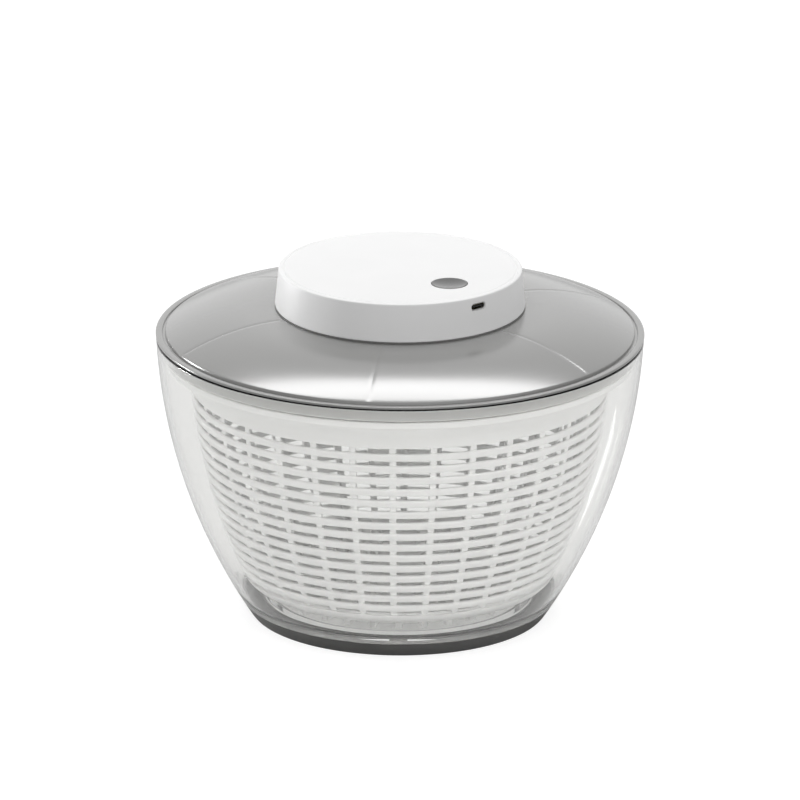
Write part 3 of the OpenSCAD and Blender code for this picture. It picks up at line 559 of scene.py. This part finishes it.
def bowlOutline():
    c, big, small, rim = bowlCentre, bowl["arc"], bowlInner, bowl["height"]
    corner = filletCentre(c, small, bowl["corner"], bowl["floorTop"])
    outside = arcPoints(c, big, arcAngle(c, big, bowl["ringHeight"]), arcAngle(c, big, rim - 1.5), bowl["steps"])
    inside = arcPoints(c, small, arcAngle(c, small, rim - 1.0), angleOf(c, corner), bowl["steps"])
    bend = arcPoints(corner, bowl["corner"], angleOf(c, corner), -90, 10)
    low, at, half = bowl["floorBottom"], bowl["grooveAt"], bowl["grooveDeep"]
    groove = [(at - half, low, 0.2), (at, low + half, 0.15), (at + half, low, 0.2)]  # keeps light out of the floor
    return [(0, low), *groove, (bowl["footInner"], low, 0.8),
            (bowl["footInner"], bowl["footLow"], 0.5), (bowl["footOuter"], bowl["footLow"], 0.5),
            (bowl["footOuter"], bowl["ringHeight"], 0.6), *outside,
            (arcReach(c, big, rim), rim, 0.9), (arcReach(c, small, rim), rim, 0.5), *inside, *bend[1:],
            (bowl["bossRadius"] + bowl["bossRound"], bowl["floorTop"], 1.2),
            (bowl["bossRadius"], bowl["bossTop"], 0.6), (bowl["pinRadius"], bowl["bossTop"]),
            (bowl["pinRadius"], bowl["pinSeat"]), (0, bowl["pinSeat"])]


def ringOutline():
    c, big, bond = bowlCentre, bowl["arc"], bowl["bond"]
    side = arcPoints(c, big, arcAngle(c, big, bowl["toe"] * 2), arcAngle(c, big, bowl["ringHeight"] - 0.5), 8)
    return [(bowl["footInner"], 0, 0.5), (arcReach(c, big, 0) - 0.2, 0, 1.4), *side,
            (arcReach(c, big, bowl["ringHeight"]) - 0.1, bowl["ringHeight"] + bond, 0.35),
            (bowl["footOuter"] - bond, bowl["ringHeight"] + bond), (bowl["footOuter"] - bond, bowl["footLow"] + bond),
            (bowl["footInner"], bowl["footLow"] + bond)]


bowlShell = turned("bowlShell", bowlOutline(), "clear_plastic")
footRing = turned("footRing", ringOutline(), "dark_silicone")


# the basket: bars and ribs between a dish and a band

basket = {"arc": 299.0, "slotsTop": 121.8, "slotsLow": 23.6, "underside": 18.0, "corner": 11.0, "wall": 2.4,
          "flangeTop": 139.8, "flangeEdge": 3.4, "flangePlay": 2.0, "flare": 12.7, "lowGap": 6.5, "lowGapAt": 28.0,
          "rows": 16, "slot": 2.7, "barDepth": 2.2, "ribs": 32, "ribWidth": 3.5, "ribDepth": 2.3,
          "ribStart": -1.8, "ribEnd": 0.6, "overlap": 0.6, "hubRadius": 11.0, "hubTop": 30.1, "hubLow": 17.0,
          "bore": 6.05, "boreTop": 27.6, "hubFoot": 4.5, "hubSlope": 2.0, "hubSlopeHigh": 5.0,
          "slotWidth": 3.0, "slotLift": 1.0, "slotDeep": 12.0, "slotsAround": 8, "floorRows": 3, "floorStart": 22.0,
          "web": 4.0, "flangeFlat": 0.8, "flangeInside": 0.42, "lugs": 4,
          "pocketRadius": 112.4, "pocketWide": 4.4, "pocketLong": 8.6, "pocketDeep": 2.4, "segments": 160}
flangeRadius = arcReach(bowlCentre, bowlInner, basket["flangeTop"]) - basket["flangePlay"]
basketCentre = arcCentre((arcReach(bowlCentre, bowlInner, basket["lowGapAt"]) - basket["lowGap"], basket["lowGapAt"]),
                         (flangeRadius - basket["flare"], basket["slotsTop"]), basket["arc"])
topAngle = radians(arcAngle(basketCentre, basket["arc"], basket["slotsTop"]))
lowAngle = radians(arcAngle(basketCentre, basket["arc"], basket["slotsLow"]))
slotAngle = basket["slot"] / basket["arc"]
stepAngle = (topAngle - lowAngle + slotAngle) / basket["rows"]
barHeight = ((topAngle - lowAngle) * basket["arc"] - basket["rows"] * basket["slot"]) / (basket["rows"] - 1)
basketBend = filletCentre(basketCentre, basket["arc"], basket["corner"], basket["underside"])


def softSection(graph, wide, high, rounding, corners=3):  # a rounded rectangle to sweep
    flat = graph.shape("CurvePrimitiveQuadrilateral", {"Width": wide, "Height": high})
    return graph.shape("FilletCurve", {"Curve": flat, "Radius": rounding, "Count": corners}, {"mode": "POLY"})


def latticeTree():
    graph, ends = newTree("basketLattice", ["bars", "ribs", "segments"], [
        "arc", "centreOut", "centreUp", "firstBar", "barStep", "barHeight", "barDepth", "ribWidth",
        "ribDepth", "ribStart", "ribLow", "ribSweep", "ribInset"])
    # bars: one circle for each row, leaned with the wall
    middle = ends["arc"] - ends["barDepth"] / 2.0
    index = graph.shape("InputIndex")
    angle = ends["firstBar"] - index * ends["barStep"]
    out = ends["centreOut"] + middle * angle.maths("COSINE")
    up = ends["centreUp"] + middle * angle.maths("SINE")
    rows = graph.shape("Points", {"Count": ends["bars"], "Position": graph.vector(z=up)})
    circle = graph.shape("CurvePrimitiveCircle", {"Resolution": ends["segments"], "Radius": 1.0})
    placed = graph.shape("InstanceOnPoints", {
        "Points": rows, "Instance": circle, "Scale": graph.vector(out, out, out)})
    level = upright(graph, graph.shape("RealizeInstances", {0: placed}))
    lean = ((graph.parts(graph.shape("InputPosition"), "Z") - ends["centreUp"]) / middle).maths("ARCSINE")
    leaned = graph.shape("SetCurveTilt", {"Curve": level, "Tilt": -lean})
    barSection = softSection(graph, ends["barDepth"], ends["barHeight"], ends["barDepth"] * 0.42)
    bars = graph.swept(leaned, barSection)
    # ribs: one bent strip, copied round the axis
    bend = graph.shape("CurveArc", {
        "Resolution": 20, "Radius": ends["arc"] - ends["ribInset"], "Start Angle": ends["ribLow"],
        "Sweep Angle": ends["ribSweep"]})
    ribSection = softSection(graph, ends["ribDepth"], ends["ribWidth"], ends["ribDepth"] * 0.25, 2)
    strip = graph.swept(upright(graph, bend), ribSection, True)
    stood = graph.moved(strip, graph.vector(ends["centreOut"], 0.0, ends["centreUp"]), (pi / 2, 0.0, 0.0))
    ribs = roundAxis(graph, stood, ends["ribs"], ends["ribStart"])
    return closeTree(graph, graph.shape("JoinGeometry", {0: [bars, ribs]}))


ribEnd = basket["ribEnd"] * degree
basketLattice = grown("basketLattice", [], latticeTree(), {
    **fed(basket, mm, "arc", "barDepth", "ribWidth", "ribDepth"), **fed(basket, 1, "segments", "ribs"),
    "centreOut": basketCentre[0] * mm, "centreUp": basketCentre[1] * mm, "barHeight": barHeight * mm,
    "firstBar": topAngle + slotAngle / 2 - stepAngle, "barStep": stepAngle, "bars": basket["rows"] - 1,
    "ribStart": basket["ribStart"] * degree, "ribLow": lowAngle - ribEnd,
    "ribSweep": topAngle - lowAngle + ribEnd * 2,
    "ribInset": (basket["barDepth"] - basket["overlap"] + basket["ribDepth"] / 2) * mm}, "basket_plastic", 40)

cutting = {"rows": 3, "sizes": ("Radius", "Length", "Width", "Height", "Depth")}


def cutTree():  # a turned piece with rows of straight slots cut through it
    rows = range(cutting["rows"])
    graph, ends = newTree("slottedPiece", ["segments"] + [f"row{row}Count" for row in rows],
                          [f"row{row}{size}" for row in rows for size in cutting["sizes"]])
    body = turn(graph)
    cutters = []
    for row in rows:
        radius, length, width, height, depth = (ends[f"row{row}{size}"] for size in cutting["sizes"])
        box = graph.shape("MeshCube", {"Size": graph.vector(length, width, depth)})
        cutter = graph.moved(box, graph.vector(radius, 0.0, height))
        cutters.append(roundAxis(graph, cutter, ends[f"row{row}Count"]))
    tools = graph.shape("RealizeInstances", {0: graph.shape("JoinGeometry", {0: cutters})})
    return closeTree(graph, cutAway(graph, body, tools))


slottedTree = cutTree()


def slotted(name, points, rows, slot):  # each row: the five sizes and the count
    sizes = fed(basket, 1, "segments")
    for number, row in enumerate(rows):
        sizes.update({f"row{number}{size}": value * mm for size, value in zip(cutting["sizes"], row)})
        sizes[f"row{number}Count"] = row[5]
    return grown(name, points, slottedTree, sizes, slot)


def bandOutline():  # the solid band above the slots, which flares into the flange
    c, big, top, thick = basketCentre, basket["arc"], basket["flangeTop"], basket["wall"]
    start = arcReach(c, big, basket["slotsTop"])
    flare = flangeRadius - basket["flangeFlat"] - start
    bend = (flangeRadius - basket["flangeFlat"], top - basket["flangeEdge"] - flare)
    outside = arcPoints(c, big, arcAngle(c, big, basket["slotsTop"]), arcAngle(c, big, bend[1]), 3)
    return [(start - thick, basket["slotsTop"], 0.4), (*outside[0], 0.8), *outside[1:-1],
            *arcPoints(bend, flare, 170, 90, 16), (flangeRadius, top - basket["flangeEdge"], 0.6),
            (flangeRadius, top, 0.9), (bend[0] - (flare + thick) * basket["flangeInside"], top, 0.5),
            *arcPoints(bend, flare + thick, 114, 172, 14)]


def dishOutline():  # the closed dish below the slots, and the hub
    c, big, low, thick = basketCentre, basket["arc"], basket["underside"], basket["wall"]
    bend, corner, hub = basketBend, basket["corner"], basket["hubRadius"]
    top = (c[0] + big * cos(lowAngle), c[1] + big * sin(lowAngle))
    topIn = (c[0] + (big - thick) * cos(lowAngle), c[1] + (big - thick) * sin(lowAngle))
    return [(basket["bore"], basket["hubLow"], 0.3), (hub, basket["hubLow"], 0.5), (hub, low),
            *arcPoints(bend, corner, -90, angleOf(c, bend), 12), (*top, 0.5), (*topIn, 0.5),
            *arcPoints(bend, corner - thick, angleOf(c, bend), -90, 10), (hub + basket["hubFoot"], low + thick, 1.5),
            (hub + basket["hubSlope"], low + basket["hubSlopeHigh"], 2.0), (hub, basket["hubTop"], 1.0),
            (0, basket["hubTop"]), (0, basket["boreTop"]), (basket["bore"], basket["boreTop"])]


floorPitch = (basketBend[0] - basket["floorStart"]) / basket["floorRows"]
floorSlots = [(basket["floorStart"] + (row + 0.5) * floorPitch - basket["web"] / 2, floorPitch - basket["web"],
               basket["slotWidth"], basket["underside"] + basket["slotLift"], basket["slotDeep"],
               basket["slotsAround"] * (row + 2)) for row in range(basket["floorRows"])]
basketDish = slotted("basketDish", dishOutline(), floorSlots, "basket_plastic")
pocket = (basket["pocketRadius"] + basket["pocketWide"] / 2, basket["pocketWide"], basket["pocketLong"],
          basket["flangeTop"], 2 * basket["pocketDeep"], basket["lugs"])
basketBand = slotted("basketBand", bandOutline(), [pocket], "basket_plastic")


# the lid: a turned dome with soft radial grooves

lid = {"radius": 125.0, "bowlRim": 147.3, "flange": 2.1, "domeRadius": 119.8, "domeLow": 150.3, "deckRadius": 65.0,
       "deck": 163.0, "arc": 122.8, "wall": 2.4, "skirtOuter": 121.15, "skirtLow": 141.0, "bore": 30.2, "gutter": 1.3,
       "gutterFloor": 148.35, "gutterSlope": 0.3, "deckFlat": 8.0, "lipRise": 0.9, "lipDeep": 1.6, "edge": 0.7,
       "steps": 30, "grooves": 6, "grooveStart": 22.4, "grooveWidth": 2.2, "grooveDepth": 0.24, "grooveFade": 3.0,
       "grooveSkin": (-0.0013, -0.0006), "grooveHollow": 1.7, "segments": 384, "crowding": 0.16}
domeCentre = arcCentre((lid["domeRadius"], lid["domeLow"]), (lid["deckRadius"], lid["deck"]), lid["arc"])


def lidOutline():
    c, big, thick = domeCentre, lid["arc"], lid["wall"]
    rim, top = lid["bowlRim"], lid["bowlRim"] + lid["flange"]
    edge, deck = (lid["domeRadius"], lid["domeLow"]), (lid["deckRadius"], lid["deck"])
    inner, slope = lid["skirtOuter"] - thick, lid["gutterSlope"]
    topAt = degrees(acos((inner - c[0]) / (big - thick)))
    dome = arcPoints(c, big, angleOf(c, deck), angleOf(c, edge), lid["steps"])
    under = arcPoints(c, big - thick, topAt, angleOf(c, deck), lid["steps"])
    return [(lid["bore"], deck[1], 0.4), (deck[0] - lid["deckFlat"], deck[1]), *dome[:-1], (*dome[-1], lid["edge"]),
            (edge[0] + slope, lid["gutterFloor"], 0.35), (edge[0] + slope + lid["gutter"], lid["gutterFloor"], 0.35),
            (edge[0] + slope * 2 + lid["gutter"], top, 0.4), (lid["radius"], top, 0.9),
            (lid["radius"], rim + lid["lipRise"], 0.3), (lid["radius"] - lid["lipDeep"], rim + 0.15, 0.4),
            (lid["skirtOuter"], rim + 0.02), (lid["skirtOuter"], lid["skirtLow"], 0.5), (inner, lid["skirtLow"], 0.5),
            *under, (lid["bore"], deck[1] - thick, 0.4)]


def groovedTree():
    graph, ends = newTree("groovedDome", ["segments", "grooves"], [
        "grooveStart", "grooveWidth", "grooveDepth", "grooveFade", "deckRadius", "domeRadius", "arc", "centreOut",
        "centreUp", "crowding"])
    plain = turn(graph)
    parts = graph.parts(graph.shape("InputPosition"))
    radius = graph.fromAxis(parts)
    pitch = (2 * pi) / ends["grooves"]
    along = (parts.other("Y").maths("ARCTAN2", parts) - ends["grooveStart"]) / pitch
    nearest = along.maths("ROUND")
    away = (along - nearest) * 2.0
    crowded = away * (ends["crowding"] + (1.0 - ends["crowding"]) * away ** 2.0)  # more points beside each groove
    across = abs(radius * (crowded * pitch * 0.5).maths("SINE"))
    dip = (1.0 - across / ends["grooveWidth"]).maths("MAXIMUM", 0.0) ** lid["grooveHollow"]
    outOfCentre, upOfCentre = radius - ends["centreOut"], parts.other("Z") - ends["centreUp"]
    reach = (outOfCentre ** 2.0 + upOfCentre ** 2.0) ** 0.5
    onTop = graph.smooth(reach - ends["arc"], *lid["grooveSkin"])
    begun = graph.smooth((radius - ends["deckRadius"]) / ends["grooveFade"], 0.0, 1.0)
    ended = graph.smooth((ends["domeRadius"] - radius) / ends["grooveFade"], 0.0, 0.5)
    sink = dip * onTop * begun * ended * ends["grooveDepth"] / reach
    turned = (nearest + crowded * 0.5) * pitch + ends["grooveStart"]
    spot = graph.polar(radius - outOfCentre * sink, turned, parts.other("Z") - upOfCentre * sink)
    shaped = graph.shape("SetPosition", {"Geometry": plain, "Position": spot})
    return closeTree(graph, shaped)


lidDome = grown("lidDome", lidOutline(), groovedTree(), {
    **fed(lid, mm, "grooveWidth", "grooveDepth", "grooveFade", "deckRadius", "domeRadius", "arc"),
    **fed(lid, 1, "segments", "grooves", "crowding"), **fed(lid, degree, "grooveStart"),
    "centreOut": domeCentre[0] * mm, "centreUp": domeCentre[1] * mm}, "smoke_plastic", 40)


# the head: cover, seal, button and charging socket

head = {"low": 163.6, "radius": 64.0, "topRadius": 62.2, "top": 183.5, "edge": 3.2, "wall": 2.2, "bead": 59.6,
        "beadWidth": 0.8, "beadDepth": 0.5, "sealOuter": 64.1, "sealInner": 61.8, "deck": 163.0, "buttonRadius": 9.2,
        "buttonDistance": 36.3, "buttonAngle": -46.5, "buttonGap": 0.25, "buttonBevel": 0.7, "buttonTop": 183.6,
        "buttonDish": 0.9, "buttonRound": 96, "topRings": (53.6, 20.0, 0.0), "socketAngle": -50.6,
        "socketLevel": 178.4, "socketWidth": 9.54, "socketHeight": 3.86, "socketCut": 12.0, "postRadius": 3.4,
        "postDistance": 52.0, "postLow": 165.4, "posts": 4, "segments": 192}


def headOutline():
    top, thick, at, half = head["top"], head["wall"], head["bead"], head["beadWidth"]
    return [(head["radius"] - thick, head["low"], 0.3), (head["radius"], head["low"], 0.9),
            (head["topRadius"], top, head["edge"]), (at + half, top, 0.15), (at, top - head["beadDepth"], 0.2),
            (at - half, top, 0.15), *((ring, top) for ring in head["topRings"]), (0, top - thick),
            (head["topRadius"] - thick, top - thick, 0.8)]


def headTree():
    graph, ends = newTree("headCover", ["segments", "buttonRound", "posts"], [
        "buttonRadius", "buttonDistance", "buttonAngle", "buttonBevel", "top", "wall", "radius", "socketWidth",
        "socketHeight", "socketLevel", "socketAngle", "socketCut", "postRadius", "postDistance", "postLow"])
    shell = turn(graph)
    angle, away, wide = ends["buttonAngle"], ends["buttonDistance"], ends["buttonRadius"]
    top, bevel, points = ends["top"], ends["buttonBevel"], ends["buttonRound"]
    rod = graph.shape("MeshCylinder", {"Vertices": points, "Radius": wide, "Depth": ends["wall"] * 4.0})
    hole = graph.moved(rod, graph.polar(away, angle, top))
    cone = graph.shape("MeshCone", {"Vertices": points, "Radius Top": wide + bevel * 2.0, "Radius Bottom": wide,
                                    "Depth": bevel * 2.0})
    seat = graph.moved(cone, graph.polar(away, angle, top - bevel))
    level, socketAt, half = ends["socketLevel"], ends["socketAngle"], ends["socketCut"] * 0.5
    line = graph.shape("CurvePrimitiveLine", {"Start": graph.polar(ends["radius"] - half, socketAt, level),
                                              "End": graph.polar(ends["radius"] + half, socketAt, level)})
    section = softSection(graph, ends["socketWidth"], ends["socketHeight"], ends["socketHeight"] * 0.499, 12)
    opening = graph.swept(upright(graph, line), section, True)
    cut = cutAway(graph, shell, graph.shape("JoinGeometry", {0: [hole, seat, opening]}))
    tall = top - ends["wall"] * 0.5 - ends["postLow"]
    post = graph.shape("MeshCylinder", {"Vertices": 32, "Radius": ends["postRadius"], "Depth": tall})
    stood = graph.moved(post, graph.vector(ends["postDistance"], 0.0, ends["postLow"] + tall * 0.5))
    return closeTree(graph, graph.shape("JoinGeometry", {0: [cut, roundAxis(graph, stood, ends["posts"])]}))


headCover = grown("headCover", headOutline(), headTree(), {
    **fed(head, mm, "buttonDistance", "buttonBevel", "top", "wall", "radius", "socketWidth", "socketHeight",
          "socketLevel", "socketCut", "postRadius", "postDistance", "postLow"),
    **fed(head, degree, "buttonAngle", "socketAngle"), **fed(head, 1, "segments", "buttonRound", "posts"),
    "buttonRadius": (head["buttonRadius"] + head["buttonGap"]) * mm}, "white_plastic", 30)


def sealOutline():
    return [(head["sealInner"], head["deck"], 0.1), (head["sealOuter"], head["deck"], 0.3),
            (head["sealOuter"] - 0.1, head["low"], 0.35), (head["sealInner"], head["low"], 0.1)]


headSeal = turned("headSeal", sealOutline(), "dark_silicone")

cap = {"stem": 1.8, "stemLong": 2.6, "play": 0.2, "web": 0.6, "skirt": 1.2, "lip": 0.8, "lipOut": 1.4, "flat": 0.93,
       "rings": (0.0, 0.15, 0.3, 0.45, 0.6, 0.75, 0.86)}


def buttonOutline():  # a shallow dish with a soft edge, a skirt with a lip and a stem on the switch
    r, top, dish = head["buttonRadius"], head["buttonTop"], head["buttonDish"]
    hollow = [(r * part, top - dish * (1 - (part / cap["flat"]) ** 2)) for part in cap["rings"]]
    low = head["top"] - head["wall"] - cap["play"]
    foot, web, lip, out = low - cap["stemLong"], low + cap["web"], low - cap["lip"], r + cap["lipOut"]
    return [(0, foot), (cap["stem"], foot), (cap["stem"], web, 0.4), (r - cap["skirt"], web, 0.4),
            (r - cap["skirt"], lip), (out, lip, 0.2), (out, low, 0.2), (r, low, 0.2), (r, top, 0.35),
            (r * cap["flat"], top, 0.6), *reversed(hollow)]


def movedTo(piece, away, angle):
    turn = radians(angle)
    piece.data.transform(Matrix.Translation((away * mm * cos(turn), away * mm * sin(turn), 0)))
    return piece


buttonCap = movedTo(turned("buttonCap", buttonOutline(), "grey_plastic", head["buttonRound"]),
                    head["buttonDistance"], head["buttonAngle"])

socket = {"wide": 8.94, "high": 3.26, "long": 7.35, "wall": 0.3, "back": 1.0, "recess": 0.6, "tongueWide": 6.7,
          "tongueHigh": 0.7, "tongueLong": 5.8, "contacts": 12, "contactWide": 0.26, "contactLong": 3.6,
          "contactPitch": 0.5, "contactProud": 0.03, "contactInset": 0.6, "lipRound": 0.1}


def stadiumLoop(wide, high, x, steps=10):
    loop = []
    for side, start in ((1, -90), (-1, 90)):
        loop += [(x, side * (wide - high) / 2 + high / 2 * cos(radians(start + 180 * i / steps)),
                  high / 2 * sin(radians(start + 180 * i / steps))) for i in range(steps + 1)]
    return loop


def loopsMesh(name, loops):  # skins a row of loops with the same number of points, closed at both ends
    count = len(loops[0])
    faces = [(a * count + i, (a + 1) * count + i, (a + 1) * count + (i + 1) % count, a * count + (i + 1) % count)
             for a in range(len(loops) - 1) for i in range(count)]
    faces.append(tuple(range(count)))
    faces.append(tuple(reversed(range((len(loops) - 1) * count, len(loops) * count))))
    mesh = bpy.data.meshes.new(name)
    mesh.from_pydata([tuple(value * mm for value in point) for loop in loops for point in loop], [], faces)
    work = bmesh.new()
    work.from_mesh(mesh)
    bmesh.ops.recalc_face_normals(work, faces=work.faces)
    work.to_mesh(mesh)
    work.free()
    return mesh


def placedPiece(name, loops, slot, place):
    mesh = loopsMesh(name, loops)
    mesh.transform(place)
    mesh.materials.append(looks[slot])
    return finished(added(name, mesh), 30)


def socketPieces():
    lean = (head["topRadius"] - head["radius"]) * (head["socketLevel"] - head["low"]) / (head["top"] - head["low"])
    reach = head["radius"] + lean  # the cover's side leans in towards its top
    start = reach - socket["recess"] - socket["long"]
    place = Matrix.Rotation(head["socketAngle"] * degree, 4, "Z") @ Matrix.Translation(
        (start * mm, 0, head["socketLevel"] * mm))
    w, h, t, long, lip = socket["wide"], socket["high"], socket["wall"] * 2, socket["long"], socket["lipRound"]
    shell = [stadiumLoop(w - 0.5, h - 0.5, 0), stadiumLoop(w, h, 0.25), stadiumLoop(w, h, long - lip),
             stadiumLoop(w - lip, h - lip, long), stadiumLoop(w - t + lip, h - t + lip, long),
             stadiumLoop(w - t, h - t, long - lip), stadiumLoop(w - t, h - t, socket["back"])]
    tw, th, end = socket["tongueWide"], socket["tongueHigh"], socket["back"] + socket["tongueLong"]
    tongue = [[(x, s * (tw / 2 - cut), u * (th / 2 - cut * 0.6)) for s, u in ((1, -1), (1, 1), (-1, 1), (-1, -1))]
              for x, cut in ((socket["back"] - 0.5, 0), (end - 0.25, 0), (end, 0.2))]
    return (placedPiece("socketShell", shell, "steel", place),
            placedPiece("socketTongue", tongue, "black_plastic", place), place)


def contactTree():  # thin strips on both faces of the tongue
    graph, ends = newTree("socketContacts", ["contacts"], [
        "contactPitch", "contactWide", "contactLong", "thickness", "front", "angle", "out", "up"])
    long, angle = ends["contactLong"], ends["angle"]
    strip = graph.shape("MeshCube", {"Size": graph.vector(long, ends["contactWide"], ends["thickness"])})
    side = (graph.shape("InputIndex") - (ends["contacts"] - 1.0) * 0.5) * ends["contactPitch"]
    points = graph.shape("Points", {
        "Count": ends["contacts"], "Position": graph.vector(ends["front"] - long * 0.5, side, 0.0)})
    row = graph.shape("InstanceOnPoints", {"Points": points, "Instance": strip})
    return closeTree(graph, graph.moved(row, graph.polar(ends["out"], angle, ends["up"]), graph.vector(z=angle)))


socketShell, socketTongue, socketPlace = socketPieces()
socketContacts = grown("socketContacts", [], contactTree(), {
    **fed(socket, mm, "contactPitch", "contactWide", "contactLong"), **fed(socket, 1, "contacts"),
    "thickness": (socket["tongueHigh"] + 2 * socket["contactProud"]) * mm,
    "front": (socket["back"] + socket["tongueLong"] - socket["contactInset"]) * mm,
    "angle": head["socketAngle"] * degree, "up": head["socketLevel"] * mm,
    "out": socketPlace.translation.to_2d().length}, "brass")


# the screws that show from below, with a cross recess and a thread

headScrew = {"headRadius": 2.8, "headHigh": 1.8, "shank": 1.45, "root": 1.15, "low": 158.8, "top": 175.0,
             "pitch": 0.9, "threadFrom": 0.6, "recessLong": 3.3, "recessWide": 0.72, "recessDeep": 1.1,
             "circle": 52.0, "count": 4, "turn": 31.0, "turnStep": 1.3, "segments": 32}
plateScrew = {**headScrew, "shank": 1.5, "low": 134.8, "top": 144.2, "circle": 0.0, "count": 1, "turn": 12.0}


def screwOutline(screw):
    r, high, long = screw["headRadius"], screw["headHigh"], screw["top"] - screw["low"]
    start = high + screw["threadFrom"]
    turns = int((long - high - 2 * screw["threadFrom"]) / screw["pitch"])
    thread = [(screw[part], start + screw["pitch"] * (i + rise))
              for i in range(turns) for part, rise in (("shank", 0.3), ("root", 0.8))]
    return [(0, 0), (r * 0.82, 0, 0.5), (r, high * 0.62, 0.4), (r, high, 0.15), (screw["shank"], high), *thread,
            (screw["root"] * 0.6, long), (0, long)]


def screwTree():
    graph, ends = newTree("crossScrews", ["segments", "count"], [
        "recessLong", "recessWide", "recessDeep", "circle", "low", "turn", "turnStep"])
    body = turn(graph)
    blade = graph.shape("MeshCube", {"Size": graph.vector(
        ends["recessLong"], ends["recessWide"], ends["recessDeep"] * 2.0)})
    crossed = graph.moved(blade, turn=(0.0, 0.0, pi / 2))
    cut = cutAway(graph, body, graph.shape("JoinGeometry", {0: [blade, crossed]}), True)
    index = graph.shape("InputIndex")
    points = graph.shape("Points", {"Count": ends["count"], "Position": graph.polar(
        ends["circle"], index * (2 * pi) / ends["count"], ends["low"])})
    row = graph.shape("InstanceOnPoints", {
        "Points": points, "Instance": cut, "Rotation": graph.vector(z=index * ends["turnStep"] + ends["turn"])})
    return closeTree(graph, row)


def screws(name, screw, tree):
    return grown(name, screwOutline(screw), tree, {
        **fed(screw, mm, "recessLong", "recessWide", "recessDeep", "circle", "low"), **fed(screw, degree, "turn"),
        **fed(screw, 1, "segments", "count", "turnStep")}, "steel", 30)


crossScrews = screwTree()
headScrews = screws("headScrews", headScrew, crossScrews)
plateScrewPiece = screws("plateScrew", plateScrew, crossScrews)
print("screws ready")


def ride(body, pieces, replaced=()):
    for piece in pieces:
        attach(piece, body)
    if replaced:
        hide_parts(*replaced)


ride("bowl", [bowlShell], ["bowl"])
ride("bowl", [footRing], ["base_ring"])
ride("basket", [basketLattice, basketDish, basketBand], ["basket"])
ride("lid", [lidDome], ["lid"])
ride("lid", [headCover], ["head_cover"])
ride("lid", [headSeal], ["head_seal"])
ride("button", [buttonCap], ["button_cap"])
ride("lid", [socketShell], ["usb_port"])
ride("lid", [socketTongue])
ride("lid", [socketContacts])
ride("lid", [headScrews], ["head_screws"])
ride("output", [plateScrewPiece], ["plate_screw"])
